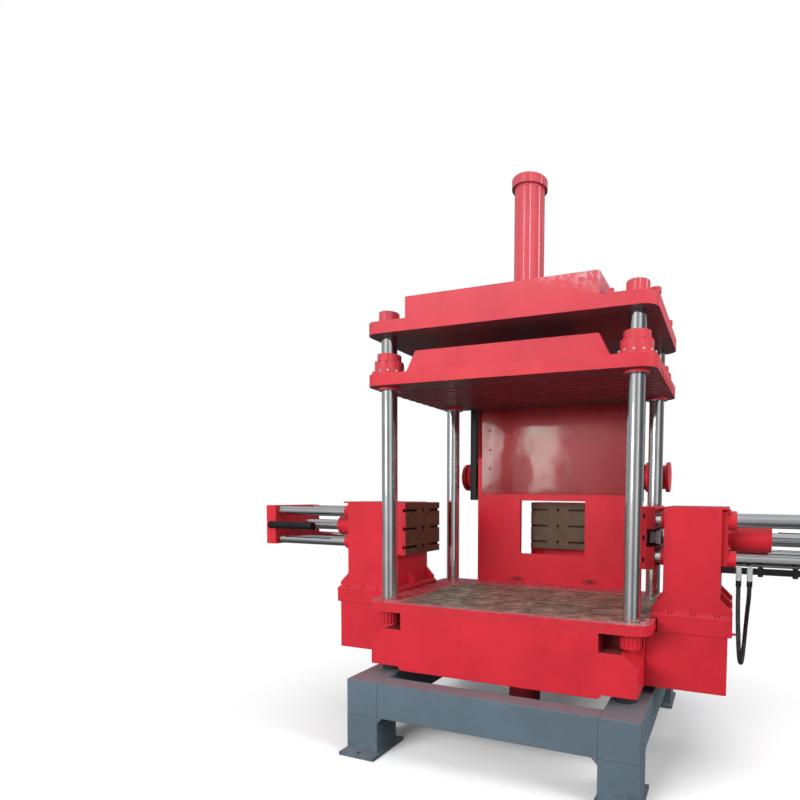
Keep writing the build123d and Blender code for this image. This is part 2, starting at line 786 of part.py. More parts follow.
def core_bushes(unit):
    """Four long guide bushes through the pedestal."""
    inner = unit.die_face + die_thickness + die_backing_thickness + pedestal_gap
    length = guide_bush_inner_reach + pedestal_length + mounting_plate_thickness + guide_bush_outer_reach
    with BuildPart() as bushes:
        with BuildSketch(unit.facing_plane(inner - guide_bush_inner_reach)):
            with Locations(*guide_places):
                Circle(guide_bush_dia / 2)
            with Locations(*guide_places):
                Circle(guide_rod_dia / 2 + running_gap, mode=Mode.SUBTRACT)
        extrude(amount=length)
    save(bushes, f"{unit.name}_core_bushes")


def core_cylinder(unit):
    """Mounting plate on the pedestal's outer face with the through-rod cylinder on it."""
    outer = unit.die_face + die_thickness + die_backing_thickness + pedestal_gap + pedestal_length
    with BuildPart() as cylinder:
        with BuildSketch(unit.facing_plane(outer)):
            with Locations(core_centre):
                RectangleRounded(2 * die_half_width, 2 * (die_half_height - cover_thickness), mounting_corner_radius)
            with Locations(*guide_places):
                Circle(guide_bush_dia / 2 + seat_gap, mode=Mode.SUBTRACT)
        extrude(amount=mounting_plate_thickness)
        with BuildSketch(unit.facing_plane(outer + mounting_plate_thickness)):
            with Locations(core_centre):
                Circle(core_barrel_dia / 2)
        extrude(amount=core_barrel_length)
        with BuildSketch(unit.facing_plane(outer)):
            with Locations(core_centre):
                Circle(core_rod_dia / 2 + running_gap)
        extrude(amount=mounting_plate_thickness + core_barrel_length, mode=Mode.SUBTRACT)
    save(cylinder, f"{unit.name}_core_cylinder")


def core_die_plate(unit):
    """Bare steel die plate: three rows, each with a hole between two open T-slots."""
    with BuildPart() as die_plate:
        with BuildSketch(unit.facing_plane(unit.die_face)):
            with Locations(core_centre):
                Rectangle(2 * die_half_width, 2 * die_half_height)
        extrude(amount=die_thickness)
        slot_length = die_half_width - die_slot_start
        slot_middle = die_slot_start + slot_length / 2
        rows = [core_axis_height + row * die_row_pitch for row in (-1, 0, 1)]
        slots = [(sx * slot_middle, row) for sx in (-1, 1) for row in rows]
        with BuildSketch(unit.facing_plane(unit.die_face)):
            with Locations(*slots):
                Rectangle(slot_length, die_slot_neck)
            with Locations(*[(0, row) for row in rows]):
                Circle(die_hole_dia / 2)
        extrude(amount=die_slot_neck_depth, mode=Mode.SUBTRACT)
        with BuildSketch(unit.facing_plane(unit.die_face + die_slot_neck_depth)):
            with Locations(*slots):
                Rectangle(slot_length, die_slot_head)
            with Locations(*[(0, row) for row in rows]):
                Circle(die_hole_dia / 2)
        extrude(amount=die_slot_head_depth, mode=Mode.SUBTRACT)
    save(die_plate, f"{unit.name}_die_plate")


def core_die_backing(unit):
    """Painted plate behind the die plate, with rod sockets and an open slot for the coupling head."""
    backing_face = unit.die_face + die_thickness
    with BuildPart() as backing:
        with BuildSketch(unit.facing_plane(backing_face)):
            with Locations(core_centre):
                Rectangle(2 * die_half_width, 2 * die_half_height)
        extrude(amount=die_backing_thickness)
        with BuildSketch(unit.facing_plane(backing_face + die_backing_thickness)):
            with Locations(*guide_places):
                Circle(guide_rod_dia / 2 + seat_gap)
        extrude(amount=-guide_socket_depth, mode=Mode.SUBTRACT)
        with BuildSketch(unit.facing_plane(backing_face)):
            slot_length = die_half_width + coupling_slot_end
            with Locations((slot_length / 2 - die_half_width, core_axis_height)):
                Rectangle(slot_length, 2 * coupling_slot_half_height)
        extrude(amount=die_backing_thickness, mode=Mode.SUBTRACT)
    save(backing, f"{unit.name}_die_backing")


def core_rods(unit):
    """Four guide rods and the through rod, with its coupling head, neck and hexagon nuts."""
    backing_outer = unit.die_face + die_thickness + die_backing_thickness
    rod_start = backing_outer - guide_socket_depth
    tail_outer = backing_outer + pedestal_gap + pedestal_length + mounting_plate_thickness
    tail_outer += core_barrel_length + tail_gap + tail_thickness
    with BuildPart() as rods:
        with BuildSketch(unit.facing_plane(rod_start)):
            with Locations(*guide_places):
                Circle(guide_rod_dia / 2)
        extrude(amount=tail_outer - rod_start)
        with BuildSketch(unit.facing_plane(backing_outer)):
            with Locations(core_centre):
                Circle(core_rod_dia / 2)
        extrude(amount=tail_outer - backing_outer)
        coupling_face = unit.die_face + die_thickness
        with BuildSketch(unit.facing_plane(coupling_face)):
            with Locations(core_centre):
                RegularPolygon(coupling_head_across / 2, 6, major_radius=False)
        extrude(amount=coupling_head_length)
        with BuildSketch(unit.facing_plane(coupling_face)):
            with Locations(core_centre):
                Circle(coupling_neck_dia / 2)
        extrude(amount=die_backing_thickness)
        with BuildSketch(unit.facing_plane(backing_outer)):
            with Locations(core_centre):
                RegularPolygon(core_nut_across / 2, 6, major_radius=False)
        extrude(amount=core_nut_length)
        with BuildSketch(unit.facing_plane(tail_outer)):
            with Locations(*guide_places):
                RegularPolygon(guide_tail_nut_across / 2, 6, major_radius=False)
        extrude(amount=guide_tail_nut_length)
        with BuildSketch(unit.facing_plane(tail_outer)):
            with Locations(core_centre):
                RegularPolygon(core_tail_nut_across / 2, 6, major_radius=False)
        extrude(amount=core_tail_nut_length)
    save(rods, f"{unit.name}_core_rods")


def core_tail_plate(unit):
    """Tail plate that ties the five rods together."""
    barrel_end = unit.die_face + die_thickness + die_backing_thickness + pedestal_gap + pedestal_length
    barrel_end += mounting_plate_thickness + core_barrel_length
    with BuildPart() as tail_plate:
        with BuildSketch(unit.facing_plane(barrel_end + tail_gap)):
            with Locations(core_centre):
                Rectangle(2 * tail_half_width, 2 * tail_half_height)
            with Locations(*guide_places):
                Circle(guide_rod_dia / 2 + seat_gap, mode=Mode.SUBTRACT)
            with Locations(core_centre):
                Circle(core_rod_dia / 2 + seat_gap, mode=Mode.SUBTRACT)
        extrude(amount=tail_thickness)
    save(tail_plate, f"{unit.name}_tail_plate")


def core_trip_bar(unit):
    """Round black trip bar beside the tail plate, with end rings and a lug."""
    barrel_end = unit.die_face + die_thickness + die_backing_thickness + pedestal_gap + pedestal_length
    barrel_end += mounting_plate_thickness + core_barrel_length
    bar_end = barrel_end + tail_gap + trip_lug_length
    bar_start = barrel_end + tail_gap - trip_bar_length
    bar_place = (trip_bar_side, core_axis_height)
    with BuildPart() as trip_bar:
        with BuildSketch(unit.facing_plane(bar_start)):
            with Locations(bar_place):
                Circle(trip_bar_dia / 2)
        extrude(amount=bar_end - bar_start)
        for ring_face in (bar_start, bar_end - trip_bar_ring_width):
            with BuildSketch(unit.facing_plane(ring_face)):
                with Locations(bar_place):
                    Circle(trip_bar_ring_dia / 2)
            extrude(amount=trip_bar_ring_width)
        with BuildSketch(unit.facing_plane(barrel_end + tail_gap)):
            lug_width = trip_bar_side - tail_half_width
            with Locations((tail_half_width + lug_width / 2, core_axis_height)):
                Rectangle(lug_width, trip_bar_dia * 0.6)
        extrude(amount=trip_lug_length)
    save(trip_bar, f"{unit.name}_trip_bar")


for unit in units:
    core_box(unit)
    core_pedestal(unit)
    core_bushes(unit)
    core_cylinder(unit)
    core_die_plate(unit)
    core_die_backing(unit)
    core_rods(unit)
    core_tail_plate(unit)
    core_trip_bar(unit)

# Black limit rails under the guide rods, one on each unit, each with two clamps
with BuildPart() as limit_rails:
    for unit in units:
        pedestal_outer = unit.die_face + die_thickness + die_backing_thickness + pedestal_gap
        pedestal_outer += pedestal_length
        rail_middle = core_axis_height - rail_drop - rail_height / 2
        with BuildSketch(unit.facing_plane(pedestal_outer)):
            with Locations((-rail_side, rail_middle)):
                Rectangle(rail_width, rail_height)
        extrude(amount=rail_length)
        for clamp in range(2):
            clamp_start = pedestal_outer + first_clamp_reach + clamp * clamp_spacing - rail_clamp_length / 2
            with BuildSketch(unit.facing_plane(clamp_start)):
                with Locations((-rail_side - rail_clamp_inset, rail_middle)):
                    Rectangle(rail_clamp_width, rail_height + 2 * rail_clamp_ledge)
            extrude(amount=rail_clamp_length)
save(limit_rails, "limit_rails")

# Two pipe fittings, lugged to the front of the right unit's rail
right_outer = side_die_face + die_thickness + die_backing_thickness + pedestal_gap + pedestal_length
rail_face_y = -rail_side - rail_width / 2
fitting_y = rail_face_y - fitting_dia / 2
fitting_base = core_axis_height - rail_drop - rail_height - fitting_drop
fitting_xs = [right_outer + first_fitting_reach, right_outer + first_fitting_reach + fitting_spacing]
with BuildPart() as hose_fittings:
    for fitting_x in fitting_xs:
        with BuildSketch(Plane.XY.offset(fitting_base)):
            with Locations((fitting_x, fitting_y)):
                Circle(fitting_dia / 2)
        extrude(amount=fitting_height)
        with BuildSketch(Plane.XY.offset(rail_middle - lug_height / 2)):
            with Locations((fitting_x, (fitting_y + rail_face_y) / 2)):
                Rectangle(lug_width, rail_face_y - fitting_y)
        extrude(amount=lug_height)
save(hose_fittings, "hose_fittings")

# Hose that hangs in one loop from fitting to fitting
hose_route = [
    (fitting_xs[0], fitting_y, fitting_base), (1355, -275, 1078), (1356, -303, 974), (1360, -339, 880),
    (1365, -346, 792), (1372, -309, 724), (1381, -240, 690), (1389, -166, 700), (1396, -108, 752),
    (1401, -96, 832), (1405, -130, 915), (1408, -188, 995), (1410, -252, 1052), (1411, -275, 1112),
    (fitting_xs[1], fitting_y, fitting_base),
]
hose_points = [Vector(*point) for point in hose_route]
hose_radii = []
for before, corner, after in zip(hose_points, hose_points[1:], hose_points[2:]):
    arriving = corner - before
    leaving = after - corner
    half_turn = radians(arriving.get_angle(leaving)) / 2
    hose_radii.append(0.45 * min(arriving.length, leaving.length) / tan(half_turn))
print("hose radii in mm:", [round(radius) for radius in hose_radii])
with BuildPart() as core_hose:
    with BuildLine() as hose_path:
        FilletPolyline(*hose_points, radius=hose_radii)
    with BuildSketch(Plane(origin=hose_path.line @ 0, z_dir=hose_path.line % 0)):
        Circle(hose_dia / 2)
    sweep()
hose_length = sum(edge.length for edge in hose_path.line.edges())
section_area = 3.14159 * hose_dia * hose_dia / 4
print("hose length in mm:", round(hose_length), "volume ratio:", round(core_hose.part.volume / (section_area * hose_length), 4))
save(core_hose, "core_hose")
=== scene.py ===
"""Gravity casting machine: paint, bare metal, fasteners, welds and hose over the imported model."""

import json
import math
from functools import partial

import bmesh
import bpy
from bpy.props import FloatProperty, FloatVectorProperty, IntProperty, PointerProperty
from mathutils import Matrix, Vector


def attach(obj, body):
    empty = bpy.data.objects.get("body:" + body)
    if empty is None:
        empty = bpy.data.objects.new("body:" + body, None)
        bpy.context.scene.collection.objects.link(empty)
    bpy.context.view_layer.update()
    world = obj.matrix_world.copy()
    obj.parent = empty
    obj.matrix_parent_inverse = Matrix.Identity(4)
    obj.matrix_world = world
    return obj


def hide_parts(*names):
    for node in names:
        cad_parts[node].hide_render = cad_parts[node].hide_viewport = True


bl_info = {
    "name": "Gravity Casting Machine",
    "version": (1, 0, 0),
    "blender": (4, 5, 0),
    "location": "View3D > Sidebar > Casting",
    "description": "Dresses the casting machine with its paint, bare metal, fasteners, welds and hose",
    "category": "Object",
}

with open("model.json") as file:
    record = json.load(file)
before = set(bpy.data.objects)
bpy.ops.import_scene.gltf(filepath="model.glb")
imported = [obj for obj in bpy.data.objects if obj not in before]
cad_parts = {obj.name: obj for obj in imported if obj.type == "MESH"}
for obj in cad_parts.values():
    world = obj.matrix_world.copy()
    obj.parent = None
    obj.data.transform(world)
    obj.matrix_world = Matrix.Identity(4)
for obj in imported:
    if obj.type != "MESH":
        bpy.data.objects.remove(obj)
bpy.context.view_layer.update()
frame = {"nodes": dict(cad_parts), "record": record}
NODES = frame["nodes"]

MM = 0.001
UP = Vector((0, 0, 1))
FRONT = Vector((0, -1, 0))
BACK = Vector((0, 1, 0))

# The four columns, and the three core pulls as outward direction, side direction and reach offset.
COLUMN_CENTRES = [(x, y) for x in (-0.800, 0.800) for y in (-0.430, 0.430)]
CORE_PULLS = {
    "left": (Vector((-1, 0, 0)), Vector((0, -1, 0)), 0.0),
    "right": (Vector((1, 0, 0)), Vector((0, 1, 0)), 0.0),
    "rear": (Vector((0, 1, 0)), Vector((-1, 0, 0)), -0.097),
}
CORE_AXIS_HEIGHT = 1.371

# Faces that pieces and patterns stand on: heights of level ones, depths of upright ones.
BED_TOP = 0.920
PLATEN_TOP = 2.374
CROWN_TOP = 2.830
WALL_FRONT = 0.552
PANEL_FRONT = 0.546
# Limits that patterns follow: the panel's sheet inside its stiffeners, and a die plate.
SHEET_HALF_WIDTH = 0.5985
DIE_HALF_WIDTH = 0.232
DIE_HALF_HEIGHT = 0.185
DIE_FACE_REACH = 0.812
# Joints that are filled and painted over: their height and the half depth of both parts.
FLUSH_JOINTS = ((0.860, 0.552), (2.700, 0.540))

# The hose leaves one fitting, sags under its own weight and comes back up into the other.
HOSE_ROUTE = [
    (1.355, -0.275, 1.160),
    (1.355, -0.275, 1.078),
    (1.356, -0.303, 0.974),
    (1.360, -0.339, 0.880),
    (1.365, -0.346, 0.792),
    (1.372, -0.309, 0.724),
    (1.381, -0.240, 0.690),
    (1.389, -0.166, 0.700),
    (1.396, -0.108, 0.752),
    (1.401, -0.096, 0.832),
    (1.405, -0.130, 0.915),
    (1.408, -0.188, 0.995),
    (1.410, -0.252, 1.052),
    (1.411, -0.275, 1.112),
    (1.411, -0.275, 1.160),
]
HOSE_DIAMETER = 0.024


def linear(hex_colour):
    """Linear RGB of an sRGB hex colour."""
    channels = []
    for start in (1, 3, 5):
        value = int(hex_colour[start:start + 2], 16) / 255
        if value <= 0.04045:
            channels.append(value / 12.92)
        else:
            channels.append(((value + 0.055) / 1.055) ** 2.4)
    return tuple(channels)


def colour_property(name, description, hex_colour):
    """A colour that the user can change, with its default as an sRGB hex value."""
    return FloatVectorProperty(
        name=name,
        description=description,
        default=linear(hex_colour),
        size=3,
        min=0.0,
        max=1.0,
        subtype="COLOR",
    )


def length_property(name, description, millimetres):
    """A length that the user can change, with its default in millimetres."""
    return FloatProperty(
        name=name,
        description=description,
        default=millimetres * MM,
        min=0.0,
        unit="LENGTH",
        subtype="DISTANCE",
    )


class PaintSettings(bpy.types.PropertyGroup):
    """Colours of the painted parts."""

    red: colour_property("Red enamel", "Sprayed enamel of the machine", "#C92835")
    panel_red: colour_property("Panel red", "High gloss enamel of the upper rear panel", "#A61F28")
    frame_grey: colour_property("Frame grey", "Blue-grey enamel of the base frame", "#5B6B76")
    dust: colour_property("Dust", "Casting dust that lies on level faces", "#A08478")
    # Partly chalky paint and partly a painted sheen: the paler red towards the top.
    faded: colour_property("Faded red", "Chalky enamel near the top, where the heat rises", "#C9A5AF")
    powder: colour_property("Powder", "White powder spattered over the crown box", "#DDCBCE")
    # Painted shade: the colour that darkens the faces that look down.
    underside_shade: colour_property("Soot", "Soot of the fumes on faces that look down", "#594F53")
    # Painted shade in the bed's pockets and on the ejector, and old oil in two splashes on the rear wall.
    oil_and_pocket_shade: colour_property("Old oil", "Old oil in the bed's pockets and on the rear wall", "#27191B")


class MetalSettings(bpy.types.PropertyGroup):
    """Colours of the bare metal, rubber and plated parts."""

    chrome: colour_property("Chrome", "Hard chrome of the columns, ram and rods", "#E2E4E5")
    bed_steel: colour_property("Bed steel", "Worn steel of the bed's top face", "#B49F8E")
    die_steel: colour_property("Die steel", "Machined steel of the die plates", "#6F5848")
    black_steel: colour_property("Black steel", "Blackened steel of racks, rails and bars", "#2B2A2C")
    rubber: colour_property("Rubber", "Black rubber of the mounts and hose", "#1B1B1C")
    zinc: colour_property("Zinc", "Bright zinc plating of the hose fittings", "#C6CACC")


class FastenerSettings(bpy.types.PropertyGroup):
    """Sizes of the fasteners and welds."""

    edge_radius: length_property("Edge radius", "Rounding on the painted plates' edges", 3)
    bush_screws: IntProperty(
        name="Bush screws",
        description="Cap screws in each ring of a column bush",
        default=12,
        min=3,
        max=24,
    )
    screw_head: length_property("Screw head", "Head diameter of the cap screws on the bushes", 16)
    weld_leg: length_property("Weld leg", "Leg length of the fillet welds", 9)


def scaled(colour, factor=1.0):
    """A colour times a factor, as RGBA."""
    return tuple(min(1.0, channel * factor) for channel in colour) + (1.0,)


def shades(colour, stops):
    """Colour ramp stops in shades of one colour, from (position, factor) pairs."""
    return [(position, scaled(colour, factor)) for position, factor in stops]


def set_stops(ramp, stops):
    """Sets a colour ramp's stops from (position, colour or grey) pairs."""
    while len(ramp.elements) > 1:
        ramp.elements.remove(ramp.elements[-1])
    for index, (position, value) in enumerate(stops):
        element = ramp.elements[0] if index == 0 else ramp.elements.new(position)
        element.position = position
        element.color = value if isinstance(value, tuple) else (value, value, value, 1.0)


def add_node(tree, kind, settings=None):
    """Adds a shader node with its properties, ramp stops, input values and links.

    An input is linked where its setting is a socket or a node, which gives its first live output.
    """
    node = tree.nodes.new("ShaderNode" + kind)
    for key, value in (settings or {}).items():
        if isinstance(value, bpy.types.Node):
            value = next(socket for socket in value.outputs if socket.enabled)
        if key == "stops":
            set_stops(node.color_ramp, value)
        elif isinstance(value, bpy.types.NodeSocket):
            tree.links.new(value, node.inputs[key])
        elif isinstance(key, str) and hasattr(node, key):
            setattr(node, key, value)
        else:
            node.inputs[key].default_value = value
    return node


def new_material(name):
    """An empty node material, and the function that adds a node to it."""
    material = bpy.data.materials.new(name)
    material.use_nodes = True
    material.node_tree.nodes.clear()
    return material, partial(add_node, material.node_tree)


def dress(name, material):
    """Gives a CAD node's object one material in all its slots."""
    mesh = NODES[name].data
    if not mesh.materials:
        mesh.materials.append(material)
    for index in range(len(mesh.materials)):
        mesh.materials[index] = material


def pocket_shade_and_oil(add, coords):
    """How dark the enamel is made, by place: painted shade and old oil.

    It is painted shade in the bed body's pockets for the lower nuts and on the ejector beneath the bed,
    and old oil in two splashes at the foot of the rear wall.
    """
    place = add("SeparateXYZ", {0: coords})
    across = add("Math", {"operation": "ABSOLUTE", 0: place.outputs["X"]})
    along = add("Math", {"operation": "ABSOLUTE", 0: place.outputs["Y"]})
    height = place.outputs["Z"]

    # A pocket's lining is its two inner walls and its floor, each 1 mm deep at its low end.
    pocket = 0.65
    skins = []
    for source, low, high in (
        (across, 0.6395, 0.8595),
        (along, 0.3395, 0.5510),
        (height, 0.7515, 0.8595),
    ):
        above = add("Math", {"operation": "GREATER_THAN", 0: source, 1: low})
        below = add("Math", {"operation": "LESS_THAN", 0: source, 1: high})
        pocket = add("Math", {"operation": "MULTIPLY", 0: above, 1: pocket})
        pocket = add("Math", {"operation": "MULTIPLY", 0: below, 1: pocket})
        skins.append(add("Math", {"operation": "LESS_THAN", 0: source, 1: low + 1 * MM}))
    walls = add("Math", {"operation": "MAXIMUM", 0: skins[0], 1: skins[1]})
    lining = add("Math", {"operation": "MAXIMUM", 0: walls, 1: skins[2]})
    total = add("Math", {"operation": "MULTIPLY", 0: lining, 1: pocket})

    # The ejector is what lies below 500 mm and within 200 mm of the middle, and it is darkened as painted
    # shade.
    spread = add("Math", {"operation": "MAXIMUM", 0: across, 1: along})
    middle = add("Math", {"operation": "LESS_THAN", 0: spread, 1: 0.200})
    low_down = add("Math", {"operation": "LESS_THAN", 0: height, 1: 0.500})
    ejector = add("Math", {"operation": "MULTIPLY", 0: middle, 1: low_down})
    ejector_shade = add("Math", {"operation": "MULTIPLY", 0: ejector, 1: 0.60})
    total = add("Math", {"operation": "MAXIMUM", 0: total, 1: ejector_shade})

    # A splash is a flat ellipsoid, 90 mm and 28 mm from its middle to its ends, broken into drops.
    drops = add("TexNoise", {"Scale": 34.0, "Detail": 5.0, "Roughness": 0.7, "Vector": coords})
    speckled = add("Math", {"operation": "MULTIPLY", 0: drops, 1: 1.9})
    for centre in ((-0.290, WALL_FRONT, 0.947), (0.310, WALL_FRONT, 0.957)):
        away = add("VectorMath", {"operation": "SUBTRACT", 0: coords, 1: centre})
        squeezed = add("VectorMath", {"operation": "MULTIPLY", 0: away, 1: (11.0, 400.0, 36.0)})
        reach = add("VectorMath", {"operation": "LENGTH", 0: squeezed})
        inside = add("Math", {"operation": "SUBTRACT", 0: 1.0, 1: reach})
        splash = add("Math", {"operation": "MULTIPLY", 0: speckled, 1: inside})
        total = add("Math", {"operation": "MAXIMUM", 0: total, 1: splash})
    return add("Math", {"operation": "MINIMUM", 0: total, 1: 0.90})


def red_enamel(settings, polished=False):
    """Alkyd enamel, sprayed over a cast or welded part and rubbed by years of use.

    The eye gets a warm even red with a soft sheen, a faint orange peel, darker handling marks,
    and a little casting dust on the level faces. Polished, it keeps a wet looking clear coat.
    """
    material, add = new_material("red_alkyd_enamel_" + ("polished" if polished else "sprayed"))
    coords = add("TexCoord").outputs["Object"]
    # Cloudy tone, about 400 mm across.
    cloud = add("TexNoise", {"Scale": 2.5, "Detail": 4.0, "Roughness": 0.6, "Vector": coords})
    cloudy = shades(settings.red, [(0.30, 0.84), (0.52, 1.0), (0.74, 1.10)])
    colour = add("ValToRGB", {"stops": cloudy, "Fac": cloud})
    # Paler towards the top of the platen and crown: partly chalky paint and partly a painted sheen for
    # the light that their faces reflect.
    where = add("SeparateXYZ", {0: coords})
    height = where.outputs["Z"]
    chalk_and_sheen = add("MapRange", {"From Min": 2.10, "From Max": 2.85, "To Max": 0.13, "Value": height})
    # White powder is spattered over the crown box's right upper corner.
    spatter = add("TexNoise", {"Scale": 38.0, "Detail": 4.0, "Roughness": 0.65, "Vector": coords})
    specks = add("ValToRGB", {"stops": [(0.46, 0.10), (0.60, 1.0)], "Fac": spatter})
    slant = add("Math", {"operation": "MULTIPLY", 0: where.outputs["X"], 1: 0.30})
    lean = add("Math", {"operation": "ADD", 0: height, 1: slant})
    most = 0.0 if polished else 0.85
    bloom = add("MapRange", {"From Min": 2.870, "From Max": 3.060, "To Max": most, "Value": lean})
    on_box = add("Math", {"operation": "LESS_THAN", 0: where.outputs["X"], 1: 0.62})
    powder = add("Math", {"operation": "MULTIPLY", 0: bloom, 1: specks})
    powder = add("Math", {"operation": "MULTIPLY", 0: powder, 1: on_box})
    # Smears and rub marks, about 60 mm long, drawn out along the height.
    stretch = add("Mapping", {"Scale": (1.0, 1.0, 0.25), "Vector": coords})
    smear = add("TexNoise", {"Scale": 16.0, "Detail": 6.0, "Roughness": 0.62, "Vector": stretch})
    rubbed = add("ValToRGB", {"stops": [(0.56, 0.0), (0.82, 0.26)], "Fac": smear})
    # Dust lies where the face looks up, and the faces that look down are darkened as painted shade.
    tilt = add("SeparateXYZ", {0: add("NewGeometry").outputs["Normal"]}).outputs["Z"]
    level = add("MapRange", {"From Min": 0.75, "From Max": 1.0, "Value": tilt})
    grit = add("TexNoise", {"Scale": 9.0, "Detail": 8.0, "Roughness": 0.7, "Vector": coords})
    gritty = add("ValToRGB", {"stops": [(0.38, 0.05), (0.68, 0.55)], "Fac": grit})
    dusty = add("Math", {"operation": "MULTIPLY", 0: level, 1: gritty})
    # Painted shade on the faces that look down.
    facing_down_shade = add(
        "MapRange", {"From Min": -1.0, "From Max": -0.75, "To Min": 0.80, "To Max": 0.0, "Value": tilt}
    )
    for mask, coat in (
        (chalk_and_sheen, scaled(settings.faded)),
        (powder, scaled(settings.powder)),
        (rubbed, scaled(settings.red, 0.62)),
        (dusty, scaled(settings.dust)),
        (facing_down_shade, scaled(settings.underside_shade)),
        (pocket_shade_and_oil(add, coords), scaled(settings.oil_and_pocket_shade)),
    ):
        colour = add("Mix", {"data_type": "RGBA", "Factor": mask, "A": colour, "B": coat})
    gloss = add(
        "MapRange", {"From Min": 0.3, "From Max": 0.75, "To Min": 0.34, "To Max": 0.52, "Value": smear}
    )
    # Orange peel is 3 mm across on the real paint; 9 mm is the finest that still shows here.
    peel = add("TexNoise", {"Scale": 110.0, "Detail": 2.0, "Roughness": 0.5, "Vector": coords})
    wave = add("Bump", {"Strength": 0.10, "Distance": 0.02, "Height": cloud})
    bump = add("Bump", {"Strength": 0.10, "Distance": 0.0015, "Height": peel, "Normal": wave})
    shader = add("BsdfPrincipled", {
        "Base Color": colour,
        "Roughness": gloss,
        "IOR": 1.5,
        "Specular IOR Level": 0.32,
        "Coat Weight": 1.0 if polished else 0.12,
        "Coat Roughness": 0.05 if polished else 0.20,
        "Normal": bump,
    })
    add("OutputMaterial", {"Surface": shader})
    return material


def gloss_red_enamel(settings):
    """High gloss enamel on folded sheet.

    The sheet isn't quite flat, so its reflections break into long pale wavy patches on a deep red.
    """
    material, add = new_material("red_gloss_enamel_on_sheet")
    coords = add("TexCoord").outputs["Object"]
    # Buckles of the sheet, about 250 mm across.
    buckle = add("TexNoise", {"Scale": 4.0, "Detail": 1.5, "Roughness": 0.45, "Vector": coords})
    wavy = shades(settings.panel_red, [(0.30, 0.86), (0.70, 1.04)])
    tone = add("ValToRGB", {"stops": wavy, "Fac": buckle})
    # Its lower half is darkened as painted shade, and the stiffeners beside the sheet are flat and dark.
    place = add("SeparateXYZ", {0: coords})
    across = add("Math", {"operation": "ABSOLUTE", 0: place.outputs["X"]})
    beside = add("Math", {"operation": "GREATER_THAN", 0: across, 1: SHEET_HALF_WIDTH})
    low = add("MapRange", {
        "From Min": 1.70, "From Max": 2.20, "To Min": 0.42, "To Max": 0.0, "Value": place.outputs["Z"],
    })
    shaded = add("Math", {"operation": "MULTIPLY", 0: beside, 1: 0.55})
    depth = add("Math", {"operation": "MAXIMUM", 0: low, 1: shaded})
    # Painted shade over the lower half of the sheet.
    deep = add("Mix", {
        "data_type": "RGBA", "Factor": depth, "A": tone, "B": scaled(settings.panel_red, 0.25),
    })
    film = add("TexNoise", {"Scale": 22.0, "Detail": 6.0, "Roughness": 0.65, "Vector": coords})
    gloss = add(
        "MapRange", {"From Min": 0.3, "From Max": 0.8, "To Min": 0.16, "To Max": 0.36, "Value": film}
    )
    flat = add("Math", {"operation": "MULTIPLY", 0: beside, 1: 0.6})
    dull = add("Math", {"operation": "MAXIMUM", 0: gloss, 1: flat})
    sheet = add("Math", {"operation": "SUBTRACT", 0: 1.0, 1: beside})
    coat = add("Math", {"operation": "MULTIPLY", 0: sheet, 1: 0.50})
    bump = add("Bump", {"Strength": 0.18, "Distance": 0.020, "Height": buckle})
    shader = add("BsdfPrincipled", {
        "Base Color": deep,
        "Roughness": dull,
        "IOR": 1.5,
        "Specular IOR Level": 0.25,
        "Coat Weight": coat,
        "Coat Roughness": 0.06,
        "Coat Normal": bump,
        "Normal": bump,
    })
    add("OutputMaterial", {"Surface": shader})
    return material


def grey_enamel(settings):
    """Blue-grey machine enamel, brushed over welded box section.

    A dull cool grey with scuffs near the floor, a trace of dust on the level faces,
    and the slightly lumpy surface of thick paint.
    """
    material, add = new_material("blue_grey_enamel_brushed")
    coords = add("TexCoord").outputs["Object"]
    cloud = add("TexNoise", {"Scale": 3.2, "Detail": 5.0, "Roughness": 0.6, "Vector": coords})
    cloudy = shades(settings.frame_grey, [(0.30, 0.86), (0.70, 1.10)])
    colour = add("ValToRGB", {"stops": cloudy, "Fac": cloud})
    # Scuffs thicken over the lowest 300 mm.
    scuff = add(
        "TexNoise", {"Scale": 28.0, "Detail": 8.0, "Roughness": 0.72, "Distortion": 0.4, "Vector": coords}
    )
    place = add("SeparateXYZ", {0: coords})
    low = add("MapRange", {"From Max": 0.30, "To Min": 0.16, "To Max": 0.0, "Value": place.outputs["Z"]})
    scuffed = add("Math", {"operation": "ADD", 0: scuff, 1: low})
    worn = add("ValToRGB", {"stops": [(0.62, 0.0), (0.78, 0.8)], "Fac": scuffed})
    tilt = add("SeparateXYZ", {0: add("NewGeometry").outputs["Normal"]}).outputs["Z"]
    level = add("MapRange", {"From Min": 0.6, "From Max": 1.0, "To Max": 0.22, "Value": tilt})
    for mask, coat in ((worn, scaled(settings.frame_grey, 0.48)), (level, scaled(settings.dust))):
        colour = add("Mix", {"data_type": "RGBA", "Factor": mask, "A": colour, "B": coat})
    # Lumps of the thick paint, about 14 mm across.
    brush = add("TexNoise", {"Scale": 70.0, "Detail": 3.0, "Roughness": 0.5, "Vector": coords})
    bump = add("Bump", {"Strength": 0.14, "Distance": 0.0025, "Height": brush})
    gloss = add(
        "MapRange", {"From Min": 0.3, "From Max": 0.8, "To Min": 0.40, "To Max": 0.62, "Value": scuff}
    )
    shader = add("BsdfPrincipled", {
        "Base Color": colour,
        "Roughness": gloss,
        "IOR": 1.5,
        "Coat Weight": 0.15,
        "Coat Roughness": 0.3,
        "Normal": bump,
    })
    add("OutputMaterial", {"Surface": shader})
    return material


